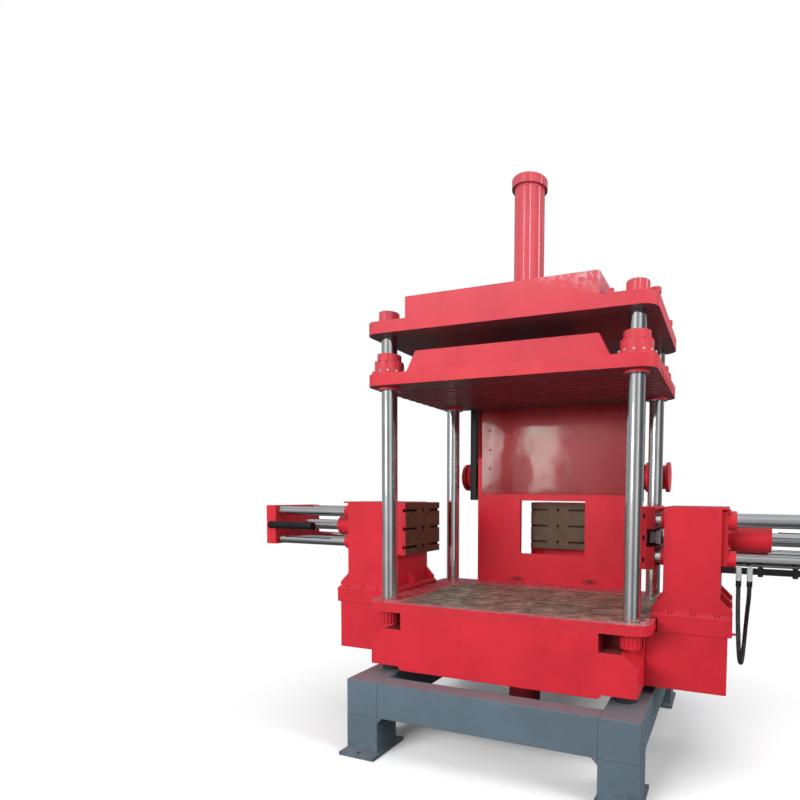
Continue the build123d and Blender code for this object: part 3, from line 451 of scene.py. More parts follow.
def patchy_finish(name, colour, stops, pattern, gloss, surface, relief=None, ribs=None):
    """A finish whose tone and gloss follow one noise pattern.

    Its relief, as strength and distance, follows the pattern too, or the noise of its own ribs.
    """
    material, add = new_material(name)
    coords = add("TexCoord").outputs["Object"]
    patches = add("TexNoise", {**pattern, "Vector": coords})
    shader = {**surface, "Base Color": add("ValToRGB", {"stops": shades(colour, stops), "Fac": patches})}
    if gloss:
        shader["Roughness"] = add("MapRange", {
            "From Min": 0.3, "From Max": 0.75, "To Min": gloss[0], "To Max": gloss[1], "Value": patches,
        })
    if relief:
        raised = add("TexNoise", {**ribs, "Vector": coords}) if ribs else patches
        shader["Normal"] = add("Bump", {"Strength": relief[0], "Distance": relief[1], "Height": raised})
    add("OutputMaterial", {"Surface": add("BsdfPrincipled", shader)})
    return material


def hard_chrome(settings):
    """Hard chrome, ground and polished round the bar.

    Near mirror, with a trace of oil film that dulls it in patches.
    """
    return patchy_finish(
        "hard_chrome_ground_and_polished",
        settings.chrome,
        [(0.30, 0.86), (0.62, 1.0)],
        {"Scale": 7.0, "Detail": 6.0, "Roughness": 0.65},
        gloss=(0.04, 0.11),
        surface={"Metallic": 1.0},
    )


def blackened_steel(settings):
    """Hot blackened steel with oil on it.

    Almost black, a low oily shine, and bright steel rubbed through in small spots.
    """
    return patchy_finish(
        "hot_blackened_steel_oiled",
        settings.black_steel,
        [(0.35, 0.55), (0.60, 1.0), (0.78, 3.0)],
        {"Scale": 45.0, "Detail": 7.0, "Roughness": 0.7},
        gloss=(0.28, 0.52),
        surface={"Metallic": 0.6},
        relief=(0.15, 0.0006),
    )


def moulded_rubber(settings):
    """Nitrile rubber, moulded or wrapped.

    Dull black with grey bloom and the faint wrap of a hose cover. The wrap's ribs are 2 mm apart;
    4 mm is the finest that can show here.
    """
    return patchy_finish(
        "nitrile_rubber_wrapped",
        settings.rubber,
        [(0.35, 1.0), (0.75, 3.2)],
        {"Scale": 30.0, "Detail": 6.0, "Roughness": 0.65},
        gloss=None,
        surface={"Roughness": 0.55, "IOR": 1.52},
        relief=(0.2, 0.0008),
        ribs={"Scale": 260.0, "Detail": 1.0},
    )


def plated_zinc(settings):
    """Bright zinc plate on turned steel.

    A pale grey metal with a soft shine and small dull patches.
    """
    return patchy_finish(
        "bright_zinc_plate",
        settings.zinc,
        [(0.35, 0.68), (0.70, 1.0)],
        {"Scale": 60.0, "Detail": 5.0, "Roughness": 0.6},
        gloss=(0.24, 0.46),
        surface={"Metallic": 0.3},
    )


def plate_edges(add, coords):
    """Masks of a die plate's outer edges and of its slots' walls and floors, by place and facing.

    A face that looks along the plate's own way out from the machine's middle is a milled face.
    """
    place = add("SeparateXYZ", {0: coords})
    flat = add("VectorMath", {"operation": "MULTIPLY", 0: coords, 1: (1, 1, 0)})
    out = add("VectorMath", {"operation": "NORMALIZE", 0: flat})
    normal = add("NewGeometry").outputs["Normal"]
    dot = add("VectorMath", {"operation": "DOT_PRODUCT", 0: out, 1: normal})
    slope = add("Math", {"operation": "ABSOLUTE", 0: dot})
    turned = add("Math", {"operation": "LESS_THAN", 0: slope, 1: 0.6})
    across = add("Math", {"operation": "ABSOLUTE", 0: place.outputs["X"]})
    along = add("Math", {"operation": "ABSOLUTE", 0: place.outputs["Y"]})
    sideways = add("Math", {"operation": "MINIMUM", 0: across, 1: along})
    rise = add("Math", {"operation": "SUBTRACT", 0: place.outputs["Z"], 1: CORE_AXIS_HEIGHT})
    above = add("Math", {"operation": "ABSOLUTE", 0: rise})
    # The plate is wider than it is high, so its height is made up to its width. The rim is 4 mm deep.
    levelled = add("Math", {"operation": "ADD", 0: above, 1: DIE_HALF_WIDTH - DIE_HALF_HEIGHT})
    outermost = add("Math", {"operation": "MAXIMUM", 0: sideways, 1: levelled})
    rim = add("Math", {"operation": "GREATER_THAN", 0: outermost, 1: DIE_HALF_WIDTH - 4 * MM})
    edge = add("Math", {"operation": "MULTIPLY", 0: turned, 1: rim})
    # A face towards the die that lies deeper than the plate's own is a slot's floor.
    behind = add("Math", {"operation": "SUBTRACT", 0: place.outputs["Y"], 1: CORE_PULLS["rear"][2]})
    depth = add("Math", {"operation": "MAXIMUM", 0: across, 1: behind})
    inward = add("Math", {"operation": "LESS_THAN", 0: dot, 1: -0.6})
    sunk = add("Math", {"operation": "GREATER_THAN", 0: depth, 1: DIE_FACE_REACH + 1.5 * MM})
    floor = add("Math", {"operation": "MULTIPLY", 0: inward, 1: sunk})
    walls = add("Math", {"operation": "SUBTRACT", 0: turned, 1: edge})
    return edge, add("Math", {"operation": "ADD", 0: walls, 1: floor})


def machined_steel(paint, settings):
    """Carbon steel, face milled and left bare, browned by heat and die spray.

    Milling rows give a fine one-way grain, and the brown film hides most of the shine.
    The plates' outer edges have the machine's enamel.
    """
    material, add = new_material("carbon_steel_face_milled")
    coords = add("TexCoord").outputs["Object"]
    film = add("TexNoise", {"Scale": 11.0, "Detail": 7.0, "Roughness": 0.68, "Vector": coords})
    browned = shades(settings.die_steel, [(0.28, 0.42), (0.50, 0.80), (0.75, 1.15)])
    colour = add("ValToRGB", {"stops": browned, "Fac": film})
    edge, slot = plate_edges(add, coords)
    # The slots' walls and floors are darkened as painted shade, and the outer edges take the enamel.
    for mask, coat in ((slot, scaled(settings.die_steel, 0.12)), (edge, scaled(paint.red))):
        colour = add("Mix", {"data_type": "RGBA", "Factor": mask, "A": colour, "B": coat})
    bare = add("Math", {"operation": "SUBTRACT", 0: 1.0, 1: edge})
    metal = add("Math", {"operation": "MULTIPLY", 0: bare, 1: 0.55})
    # Milling rows, 4 mm apart, level across the face.
    stretch = add("Mapping", {"Scale": (0.06, 0.06, 1.0), "Vector": coords})
    rows = add("TexNoise", {"Scale": 250.0, "Detail": 2.0, "Vector": stretch})
    gloss = add(
        "MapRange", {"From Min": 0.3, "From Max": 0.8, "To Min": 0.34, "To Max": 0.60, "Value": film}
    )
    bump = add("Bump", {"Strength": 0.25, "Distance": 0.0008, "Height": rows})
    shader = add("BsdfPrincipled", {
        "Base Color": colour,
        "Metallic": metal,
        "Roughness": gloss,
        "IOR": 1.5,
        "Normal": bump,
    })
    add("OutputMaterial", {"Surface": shader})
    return material


def worn_field(add, place, wander, grow):
    """The part of the bed's top whose enamel is worn off, grown by a margin.

    More paint is left at the left and rear, so the field's middle is off the bed's own.
    """
    field = 1.0
    for axis, middle, half in (("X", 0.095, 0.775), ("Y", -0.070, 0.440)):
        offset = add("Math", {"operation": "SUBTRACT", 0: place.outputs[axis], 1: middle})
        distance = add("Math", {"operation": "ABSOLUTE", 0: offset})
        ragged = add("Math", {"operation": "ADD", 0: distance, 1: wander})
        within = add("Math", {"operation": "LESS_THAN", 0: ragged, 1: half + grow})
        field = add("Math", {"operation": "MULTIPLY", 0: within, 1: field})
    return field


def bed_finish(paint, metal):
    """Planed steel bed inside a painted border.

    The top is worn to a brown-grey with bright drag marks along the length and dull stains,
    and the enamel keeps a ragged band along the rim, wide at the left and rear, and the sides.
    """
    material, add = new_material("planed_steel_bed_with_painted_rim")
    coords = add("TexCoord").outputs["Object"]
    place = add("SeparateXYZ", {0: coords})
    height = place.outputs["Z"]
    # The paint's inner edge is worn ragged, by up to 28 mm either way.
    ragged = add("TexNoise", {"Scale": 16.0, "Detail": 8.0, "Roughness": 0.72, "Vector": coords})
    wander = add("MapRange", {
        "From Min": 0.3, "From Max": 0.7, "To Min": -0.028, "To Max": 0.028, "Value": ragged,
    })
    inside = worn_field(add, place, wander, 0.0)
    grown = worn_field(add, place, wander, 0.014)
    fringe = add("Math", {"operation": "SUBTRACT", 0: grown, 1: inside})
    upper = add("Math", {"operation": "GREATER_THAN", 0: height, 1: 0.867})
    bare = add("Math", {"operation": "MULTIPLY", 0: inside, 1: upper})
    # Stains, about 130 mm across.
    stain = add(
        "TexNoise", {"Scale": 7.5, "Detail": 9.0, "Roughness": 0.74, "Distortion": 0.5, "Vector": coords}
    )
    tones = [(0.32, 0.20), (0.44, 0.50), (0.54, 0.85), (0.62, 1.30), (0.72, 2.10)]
    steel = add("ValToRGB", {"stops": shades(metal.bed_steel, tones), "Fac": stain})
    # Drag marks of the dies, 8 mm wide and some 150 mm long.
    stretch = add("Mapping", {"Scale": (0.05, 1.0, 1.0), "Vector": coords})
    drag = add("TexNoise", {"Scale": 130.0, "Detail": 3.0, "Roughness": 0.6, "Vector": stretch})
    dragged = add("ValToRGB", {"stops": [(0.60, 0.0), (0.78, 0.45)], "Fac": drag})
    # The enamel on the top face is scuffed in patches, and palest where it ends, which is a painted
    # highlight along the paint's edge.
    rim = add("ValToRGB", {"stops": shades(paint.red, [(0.35, 0.85), (0.65, 1.0)]), "Fac": ragged})
    patches = add("ValToRGB", {"stops": [(0.42, 0.08), (0.68, 0.55)], "Fac": ragged})
    top = add("Math", {"operation": "GREATER_THAN", 0: height, 1: BED_TOP - 0.0008})
    edge_highlight = add("Math", {"operation": "MULTIPLY", 0: fringe, 1: 0.62})
    pale = add("Math", {"operation": "MAXIMUM", 0: patches, 1: edge_highlight})
    worn_and_highlit = add("Math", {"operation": "MULTIPLY", 0: top, 1: pale})
    scuffed = add("Mix", {"data_type": "RGBA", "Factor": worn_and_highlit, "A": rim, "B": scaled(paint.faded)})
    # Dirt fills the slots to just below the face.
    below = add("Math", {"operation": "LESS_THAN", 0: height, 1: BED_TOP - 0.0015})
    sunk = add("Math", {"operation": "MULTIPLY", 0: bare, 1: below})
    for mask, factor in ((dragged, 1.9), (sunk, 0.22)):
        coat = scaled(metal.bed_steel, factor)
        steel = add("Mix", {"data_type": "RGBA", "Factor": mask, "A": steel, "B": coat})
    colour = add("Mix", {"data_type": "RGBA", "Factor": bare, "A": scuffed, "B": steel})
    clean = add("Math", {"operation": "SUBTRACT", 0: bare, 1: sunk})
    shine = add("Math", {"operation": "MULTIPLY", 0: clean, 1: 0.42})
    dull = add(
        "MapRange", {"From Min": 0.3, "From Max": 0.75, "To Min": 0.56, "To Max": 0.30, "Value": stain}
    )
    bump = add("Bump", {"Strength": 0.30, "Distance": 0.0010, "Height": drag})
    shader = add("BsdfPrincipled", {
        "Base Color": colour,
        "Metallic": shine,
        "Roughness": dull,
        "IOR": 1.5,
        "Normal": bump,
    })
    add("OutputMaterial", {"Surface": shader})
    return material


MATERIALS = {}


def material_for(name):
    """The finished material of that slot, made once."""
    if name not in MATERIALS:
        paint = bpy.context.scene.casting_paint
        metal = bpy.context.scene.casting_metal
        makers = {
            "red_paint": lambda: red_enamel(paint),
            "gloss_red_panel": lambda: gloss_red_enamel(paint),
            "grey_paint": lambda: grey_enamel(paint),
            "chrome": lambda: hard_chrome(metal),
            "polished_red": lambda: red_enamel(paint, polished=True),
            "bare_steel": lambda: machined_steel(paint, metal),
            "worn_steel": lambda: bed_finish(paint, metal),
            "black_steel": lambda: blackened_steel(metal),
            "black_rubber": lambda: moulded_rubber(metal),
            "zinc_fitting": lambda: plated_zinc(metal),
        }
        MATERIALS[name] = makers[name]()
    return MATERIALS[name]


def set_piece(name, mesh, body, slot, finish=None):
    """Turns a bmesh into a piece that rides on a body and has its slot's finish, or a named one."""
    data = bpy.data.meshes.new(name)
    mesh.to_mesh(data)
    mesh.free()
    data.materials.append(material_for(finish or slot))
    piece = bpy.data.objects.new(name, data)
    bpy.context.scene.collection.objects.link(piece)
    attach(piece, body)
    return piece


def piece_from(name, mesh, body, slot, finish=None):
    """Sets a piece of new shapes, after their faces are turned outwards."""
    bmesh.ops.recalc_face_normals(mesh, faces=mesh.faces)
    return set_piece(name, mesh, body, slot, finish)


def facing(centre, direction):
    """A matrix that stands a shape's own Z along a direction, with its origin at the centre."""
    turn = Vector(direction).to_track_quat("Z", "Y").to_matrix().to_4x4()
    return Matrix.Translation(Vector(centre)) @ turn


def soften_faces(mesh, angle=28.0):
    """Smooths the shading of curved faces and keeps flat faces flat."""
    limit = math.radians(angle)
    for face in mesh.faces:
        face.smooth = any(
            len(edge.link_faces) == 2 and 0.004 < edge.calc_face_angle(0.0) < limit
            for edge in face.edges
        )
    for edge in mesh.edges:
        if len(edge.link_faces) == 2:
            edge.smooth = edge.calc_face_angle(0.0) < limit


def flush_edge(edge):
    """Whether an edge lies in a joint that is filled smooth."""
    return any(
        all(
            abs(vert.co.z - height) < 0.0001 and abs(vert.co.y) > half_depth - 0.0005
            for vert in edge.verts
        )
        for height, half_depth in FLUSH_JOINTS
    )


def roll_edges(mesh, edges, width, segments):
    """Rounds edges and gives the new faces."""
    made = bmesh.ops.bevel(
        mesh,
        geom=edges,
        offset=width,
        offset_type="OFFSET",
        affect="EDGES",
        segments=segments,
        profile=0.5,
        material=-1,
        clamp_overlap=True,
    )
    return made["faces"]


def add_cone(mesh, segments, bottom, top, depth, place):
    """A closed barrel or cone from its bottom and top radius, centred on its place."""
    return bmesh.ops.create_cone(
        mesh,
        cap_ends=True,
        segments=segments,
        radius1=bottom,
        radius2=top,
        depth=depth,
        matrix=place,
    )


def add_box(mesh, centre, size):
    """A box from its centre and its three sizes."""
    scale = Matrix.Diagonal((abs(size[0]), abs(size[1]), abs(size[2]), 1.0))
    bmesh.ops.create_cube(mesh, size=1.0, matrix=Matrix.Translation(centre) @ scale)


def rounded_copy(node, body, slot, radius):
    """A merged copy of a CAD node with rounded edges, which takes the node's place."""
    mesh = bmesh.new()
    mesh.from_mesh(NODES[node].data)
    bmesh.ops.remove_doubles(mesh, verts=mesh.verts, dist=0.00002)
    bmesh.ops.dissolve_limit(
        mesh,
        angle_limit=math.radians(0.6),
        use_dissolve_boundaries=False,
        verts=mesh.verts,
        edges=mesh.edges,
    )
    soften_faces(mesh)
    sharp = [
        edge
        for edge in mesh.edges
        if len(edge.link_faces) == 2
        and abs(edge.calc_face_angle(0.0)) > math.radians(32)
        and edge.calc_face_angle_signed(0.0) > 0
        and not flush_edge(edge)
    ]
    rolled = set(roll_edges(mesh, sharp, radius, 2)) if sharp else set()
    # Only the rolled edges are smooth between flat faces, so that the plates don't look blown up.
    for face in rolled:
        face.smooth = True
    for edge in mesh.edges:
        if len(edge.link_faces) == 2:
            sides = [face in rolled for face in edge.link_faces]
            limit = math.radians(60.0) if all(sides) else math.radians(28.0)
            edge.smooth = sides[0] == sides[1] and edge.calc_face_angle(0.0) < limit
    piece = set_piece(node + "_rounded", mesh, body, slot)
    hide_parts(node)


def add_cap_screw(mesh, seat, direction, head):
    """A socket cap screw's head with its hexagon socket, standing on its seat."""
    seat = Vector(seat)
    height = head * 0.66
    rim = seat + direction * height
    place = facing(seat + direction * height / 2, direction)
    made = add_cone(mesh, 18, head / 2, head / 2, height, place)
    top = [
        face
        for face in {face for vert in made["verts"] for face in vert.link_faces}
        if (face.calc_center_median() - rim).length < head * 0.05
    ]
    roll_edges(mesh, list({edge for face in top for edge in face.edges}), head * 0.06, 1)
    top = [
        face
        for face in mesh.faces
        if len(face.verts) > 8 and (face.calc_center_median() - rim).length < head * 0.05
    ]
    bmesh.ops.inset_region(mesh, faces=top, thickness=head * 0.20, depth=0.0)
    bmesh.ops.inset_region(mesh, faces=top, thickness=head * 0.005, depth=-head * 0.32)


def add_hex_screw(mesh, seat, direction, across, washer=True):
    """A hexagon head, on a washer or straight on its seat."""
    seat = Vector(seat)
    if washer:
        thickness = across * 0.10
        place = facing(seat + direction * thickness / 2, direction)
        add_cone(mesh, 20, across * 0.64, across * 0.62, thickness, place)
        seat = seat + direction * thickness
    height = across * 0.60
    crown = across * 0.08
    corner = across / math.sqrt(3)
    add_cone(mesh, 6, corner, corner, height, facing(seat + direction * height / 2, direction))
    place = facing(seat + direction * (height + crown / 2), direction)
    add_cone(mesh, 6, corner, corner * 0.82, crown, place)


def ring_spots(centre, axis, radius, count, phase=0.0):
    """Evenly spaced points on a circle about an axis."""
    turn = facing(centre, axis)
    spots = []
    for index in range(count):
        angle = 2 * math.pi * index / count + phase
        spots.append(turn @ Vector((radius * math.cos(angle), radius * math.sin(angle), 0.0)))
    return spots


def core_point(pull, reach, across, height=0.0):
    """A point of a core pull: how far out, how far across, and how high above its axis."""
    out, side, shift = CORE_PULLS[pull]
    return out * (reach + shift) + side * across + UP * (CORE_AXIS_HEIGHT + height)


def add_weld(mesh, start, end, outward, up, leg, pitch=0.007):
    """A fillet weld: a round section swept along a corner, with the ripple of each drop.

    The section sits in the corner between two faces, whose directions are outward and up.
    """
    first = len(mesh.verts)
    start = Vector(start)
    run = Vector(end) - start
    direction = run.normalized()
    steps = max(2, int(run.length / pitch))
    middle = start + (Vector(outward).normalized() + Vector(up).normalized()) * leg * 0.22
    ring = bmesh.ops.create_circle(
        mesh, cap_ends=False, segments=8, radius=leg * 0.5, matrix=facing(middle, run)
    )
    edges = list({edge for vert in ring["verts"] for edge in vert.link_edges})
    bmesh.ops.spin(
        mesh,
        geom=list(ring["verts"]) + edges,
        cent=start,
        axis=direction,
        dvec=run / steps,
        angle=0.0,
        steps=steps,
    )
    for vert in list(mesh.verts)[first:]:
        along = (vert.co - start).dot(direction)
        ripple = 1.0 + 0.16 * math.sin(along / pitch * 2.1) + 0.07 * math.sin(along / pitch * 0.37)
        centre = middle + direction * along
        vert.co = centre + (vert.co - centre) * ripple


class MACHINE_OT_studio_stage(bpy.types.Operator):
    """Sets the camera, the pale floor, the sky and the soft lamps"""

    bl_idname = "machine.studio_stage"
    bl_label = "Studio Stage"

    def execute(self, context):
        scene = context.scene
        scene.view_settings.view_transform = "Standard"

        lens = bpy.data.cameras.new("photo_view")
        lens.sensor_width = 36.0
        lens.lens = 24.18
        lens.shift_x = -0.1625
        lens.shift_y = 0.1543
        lens.clip_end = 200.0
        camera = bpy.data.objects.new("photo_view", lens)
        azimuth = Matrix.Rotation(math.radians(20.50), 4, "Z")
        tilt = Matrix.Rotation(math.radians(90 - 2.93), 4, "X")
        roll = Matrix.Rotation(math.radians(0.61), 4, "Z")
        camera.matrix_world = Matrix.Translation((1.3058, -3.4233, 1.6116)) @ azimuth @ tilt @ roll
        scene.collection.objects.link(camera)
        scene.camera = camera

        ground = bmesh.new()
        bmesh.ops.create_grid(ground, x_segments=8, y_segments=8, size=30.0)
        floor_data = bpy.data.meshes.new("pale_floor")
        ground.to_mesh(floor_data)
        ground.free()
        floor_data.materials.append(self.floor_material())
        floor = bpy.data.objects.new("pale_floor", floor_data)
        scene.collection.objects.link(floor)

        self.lamp("key_softbox", (-2.4, -7.3, 3.4), (0.0, 0.0, 1.6), 5.0, 2.0, 535.0)
        self.lamp("fill_softbox", (7.0, -1.2, 3.0), (0.0, 0.0, 1.4), 3.5, 3.0, 340.0)
        self.lamp("top_softbox", (0.0, 0.5, 7.6), (0.0, 0.0, 0.0), 6.0, 6.0, 150.0)
        self.sky(scene)
        return {"FINISHED"}

    @staticmethod
    def floor_material():
        """Matt white paper: it takes a soft shadow near the machine and fades to plain white.

        It throws little light back up, and gloss and chrome see past its far part.
        """
        material, add = new_material("white_paper_sweep")
        coords = add("TexCoord").outputs["Object"]
        distance = add("VectorMath", {"operation": "LENGTH", 0: coords})
        far = add("MapRange", {"From Min": 1.4, "From Max": 2.4, "Value": distance})
        rays = add("LightPath")
        camera_ray = rays.outputs["Is Camera Ray"]
        seen = add("Math", {"operation": "MULTIPLY", 0: far, 1: camera_ray})
        clear = add("Math", {"operation": "MULTIPLY", 0: far, 1: rays.outputs["Is Glossy Ray"]})
        grain = add("TexNoise", {"Scale": 3.0, "Detail": 2.0, "Vector": coords})
        paper = add("ValToRGB", {"stops": [(0.3, 0.86), (0.7, 0.88)], "Fac": grain})
        bounced = scaled(linear("#737171"))
        toned = add("Mix", {"data_type": "RGBA", "Factor": camera_ray, "A": bounced, "B": paper})
        matt = add("BsdfDiffuse", {"Roughness": 0.5, "Color": toned})
        white = add("Emission", {"Color": (1.0, 1.0, 1.0, 1.0), "Strength": 1.0})
        faded = add("MixShader", {0: seen, 1: matt, 2: white})
        shader = add("MixShader", {0: clear, 1: faded, 2: add("BsdfTransparent")})
        add("OutputMaterial", {"Surface": shader})
        return material

    @staticmethod
    def lamp(name, place, target, width, height, power):
        """A soft rectangular lamp that shines on the machine and isn't mirrored in it."""
        data = bpy.data.lights.new(name, "AREA")
        data.shape = "RECTANGLE"
        data.size = width
        data.size_y = height
        data.energy = power
        lamp = bpy.data.objects.new(name, data)
        lamp.visible_glossy = False
        aim = Vector(target) - Vector(place)
        turn = aim.to_track_quat("-Z", "Y").to_matrix().to_4x4()
        lamp.matrix_world = Matrix.Translation(Vector(place)) @ turn
        bpy.context.scene.collection.objects.link(lamp)

    @staticmethod
    def sky(scene):
        """White to the camera, plain pale grey to the paint, and softly banded to gloss and chrome."""
        world = bpy.data.worlds.new("plain_studio")
        scene.world = world
        world.use_nodes = True
        world.node_tree.nodes.clear()
        add = partial(add_node, world.node_tree)
        parts = add("SeparateXYZ", {0: add("TexCoord").outputs["Generated"]})
        azimuth = add("Math", {"operation": "ARCTAN2", 0: parts.outputs["Y"], 1: parts.outputs["X"]})
        turn = add("MapRange", {"From Min": -math.pi, "From Max": math.pi, "Value": azimuth})
        # Positions round the horizon: 0.25 looks along -Y, 0.5 along +X and 0.75 along +Y.
        bands = add("ValToRGB", {"Fac": turn, "stops": [
            (0.000, 0.34), (0.090, 0.36), (0.130, 0.60), (0.165, 0.90), (0.225, 0.92),
            (0.252, 0.42), (0.290, 0.30), (0.325, 0.42), (0.370, 0.88), (0.400, 0.80),
            (0.435, 0.20), (0.500, 0.10), (0.570, 0.14), (0.620, 0.34), (0.720, 0.40),
            (0.780, 0.16), (0.900, 0.24), (0.950, 0.44), (1.000, 0.34),
        ]})
        # Towards the zenith and the floor the bands give way to a plain tone.
        upright = add("MapRange", {"From Min": -1.0, "From Max": 1.0, "Value": parts.outputs["Z"]})
        plain = [(0.05, 1.0), (0.36, 0.0), (0.74, 0.0), (0.95, 1.0)]
        height = add("ValToRGB", {"Fac": upright, "stops": plain})
        ends = add("ValToRGB", {"Fac": upright, "stops": [(0.36, 0.08), (0.70, (0.62, 0.63, 0.65, 1.0))]})
        studio = add("Mix", {"data_type": "RGBA", "Factor": height, "A": bands, "B": ends})
        # The room is dimmer near its floor.
        dimmer = [(0.34, 0.45), (0.42, 0.66), (0.50, 0.90), (0.60, 0.96)]
        dim = add("ValToRGB", {"Fac": upright, "stops": dimmer})
        mirrored = add("Background", {"Color": studio, "Strength": dim})
        # Windows low behind the camera show in the upper panel as three pale patches, and lamp
        # tubes high up draw the three bright lines down the main cylinder.
        pane = (0.78, 1.0, 0.88, 1.0)
        windows = [
            (0.1745, 0.0), (0.1755, pane), (0.1780, pane), (0.1805, 0.40), (0.1845, 0.14),
            (0.1865, 0.0), (0.1920, 0.0), (0.1950, (0.60, 0.75, 0.66, 1.0)), (0.1980, pane),
            (0.1998, 0.50), (0.2020, 0.0), (0.2060, 0.0), (0.2090, 0.10), (0.2120, 0.0),
        ]
        window_span = [(0.499, 0.0), (0.510, 0.8), (0.530, 1.0), (0.562, 1.0), (0.585, 0.0)]
        tubes = [
            (0.183, 0.0), (0.189, 1.0), (0.193, 1.0), (0.199, 0.0), (0.309, 0.0), (0.316, 0.9),
            (0.326, 0.9), (0.333, 0.0), (0.510, 0.0), (0.525, 0.7), (0.535, 0.7), (0.550, 0.0),
        ]
        tube_span = [(0.667, 0.0), (0.680, 1.0), (0.735, 1.0), (0.755, 0.0)]
        for pattern, span, strength in ((windows, window_span, 17.0), (tubes, tube_span, 12.0)):
            lights = add("ValToRGB", {"Fac": turn, "stops": pattern})
            spread = add("ValToRGB", {"Fac": upright, "stops": span})
            level = add("Math", {"operation": "MULTIPLY", 0: spread, 1: strength})
            glow = add("Background", {"Color": lights, "Strength": level})
            mirrored = add("AddShader", {0: mirrored, 1: glow})
        even = add("Background", {"Color": (0.96, 0.97, 1.0, 1.0), "Strength": 0.52})
        seen = add("Background", {"Color": (1.0, 1.0, 1.0, 1.0), "Strength": 1.0})
        rays = add("LightPath")
        bright = add("MixShader", {0: rays.outputs["Is Glossy Ray"], 1: even, 2: mirrored})
        mixed = add("MixShader", {0: rays.outputs["Is Camera Ray"], 1: bright, 2: seen})
        add("OutputWorld", {"Surface": mixed})


class MACHINE_OT_core_hose(bpy.types.Operator):
    """Hangs the hydraulic hose between its two fittings"""

    bl_idname = "machine.core_hose"
    bl_label = "Core Hose"

    def execute(self, context):
        curve = bpy.data.curves.new("core_hose_line", "CURVE")
        curve.dimensions = "3D"
        curve.resolution_u = 8
        curve.bevel_depth = HOSE_DIAMETER / 2
        curve.bevel_resolution = 5
        spline = curve.splines.new("NURBS")
        spline.points.add(len(HOSE_ROUTE) - 1)
        for point, place in zip(spline.points, HOSE_ROUTE):
            point.co = (*place, 1.0)
        spline.order_u = 3
        spline.use_endpoint_u = True
        curve.materials.append(material_for("black_rubber"))
        hose = bpy.data.objects.new("core_hose_cover", curve)
        context.scene.collection.objects.link(hose)
        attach(hose, "frame")
        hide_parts("core_hose")

        # Each end has a swaged ferrule with a groove below the fitting's nut.
        ends = bmesh.new()
        for x, y, top in (HOSE_ROUTE[0], HOSE_ROUTE[-1]):
            for low, high, radius in (
                (0.032, 0.018, 0.0152),
                (0.018, 0.014, 0.0140),
                (0.014, 0.0, 0.0150),
            ):
                middle = Matrix.Translation((x, y, top - (low + high) / 2))
                add_cone(ends, 24, radius, radius, low - high, middle)
        soften_faces(ends)
        ferrules = piece_from("hose_ferrules", ends, "frame", "black_steel")
        return {"FINISHED"}


class MACHINE_OT_painted_castings(bpy.types.Operator):
    """Rounds the edges of the painted plates and castings and paints them"""

    bl_idname = "machine.painted_castings"
    bl_label = "Painted Castings"

    def execute(self, context):
        radius = context.scene.casting_fasteners.edge_radius
        bodies = frame["record"]["behaviour"]["bodies"]
        body_of = {node: body for body, nodes in bodies.items() for node in nodes}
        painted = {
            "red_paint": [
                "bed_body", "crown_plate", "crown_box", "platen_plate", "platen_ribs",
                "platen_webs", "rear_wall", "left_rack_housing", "right_rack_housing",
            ],
            "worn_steel": ["bed_plate"],
            "grey_paint": [
                "frame_front_beam", "frame_rear_beam", "frame_left_beam", "frame_right_beam",
                "frame_legs",
            ],
        }
        # Slots, and bores close to an edge, leave room for a finer rounding only, in millimetres.
        fine = {
            "bed_plate": 1.0,
            "platen_plate": 1.0,
            "left_rack_housing": 2.0,
            "right_rack_housing": 2.0,
        }
        for pull in CORE_PULLS:
            for part in ("_core_box", "_core_pedestal", "_die_backing", "_tail_plate"):
                painted["red_paint"].append(pull + part)
            fine[pull + "_tail_plate"] = 1.0
        for slot, nodes in painted.items():
            for node in nodes:
                rounding = min(radius, fine[node] * MM) if node in fine else radius
                rounded_copy(node, body_of[node], slot, rounding)
        return {"FINISHED"}


class MACHINE_OT_bare_parts(bpy.types.Operator):
    """Gives the turned, machined and plated parts their finish"""

    bl_idname = "machine.bare_parts"
    bl_label = "Bare Parts"

    def execute(self, context):
        finishes = {
            "red_paint": ["lower_nuts", "ejector_cylinder", "lifting_posts"],
            "polished_red": ["main_cylinder", "upper_nuts", "platen_bushes"],
            "gloss_red_panel": ["upper_panel"],
            "chrome": ["columns", "main_ram"],
            "bare_steel": [],
            "black_steel": ["platen_racks", "limit_rails"],
            "black_rubber": ["bed_mounts"],
            "zinc_fitting": ["hose_fittings"],
        }
        for pull in CORE_PULLS:
            finishes["red_paint"] += [pull + "_core_cylinder", pull + "_core_bushes"]
            finishes["chrome"].append(pull + "_core_rods")
            finishes["bare_steel"].append(pull + "_die_plate")
            finishes["black_steel"].append(pull + "_trip_bar")
        for slot, nodes in finishes.items():
            for node in nodes:
                dress(node, material_for(slot))
        return {"FINISHED"}


class MACHINE_OT_bush_screws(bpy.types.Operator):
    """Sets the rings of cap screws into the four column bushes"""

    bl_idname = "machine.bush_screws"
    bl_label = "Bush Screws"

    def execute(self, context):
        sizes = context.scene.casting_fasteners
        step = math.pi / sizes.bush_screws
        for name, z, radius, phase, slot in (
            ("bush_flange_screws", 2.392, 0.1015, 0.0, "zinc_fitting"),
            ("bush_collar_screws", 2.455, 0.0845, step, "red_paint"),
        ):
            screws = bmesh.new()
            for x, y in COLUMN_CENTRES:
                for spot in ring_spots((x, y, z), UP, radius, sizes.bush_screws, phase):
                    add_cap_screw(screws, spot, UP, sizes.screw_head)
            soften_faces(screws)
            piece_from(name, screws, "platen", slot)
        return {"FINISHED"}


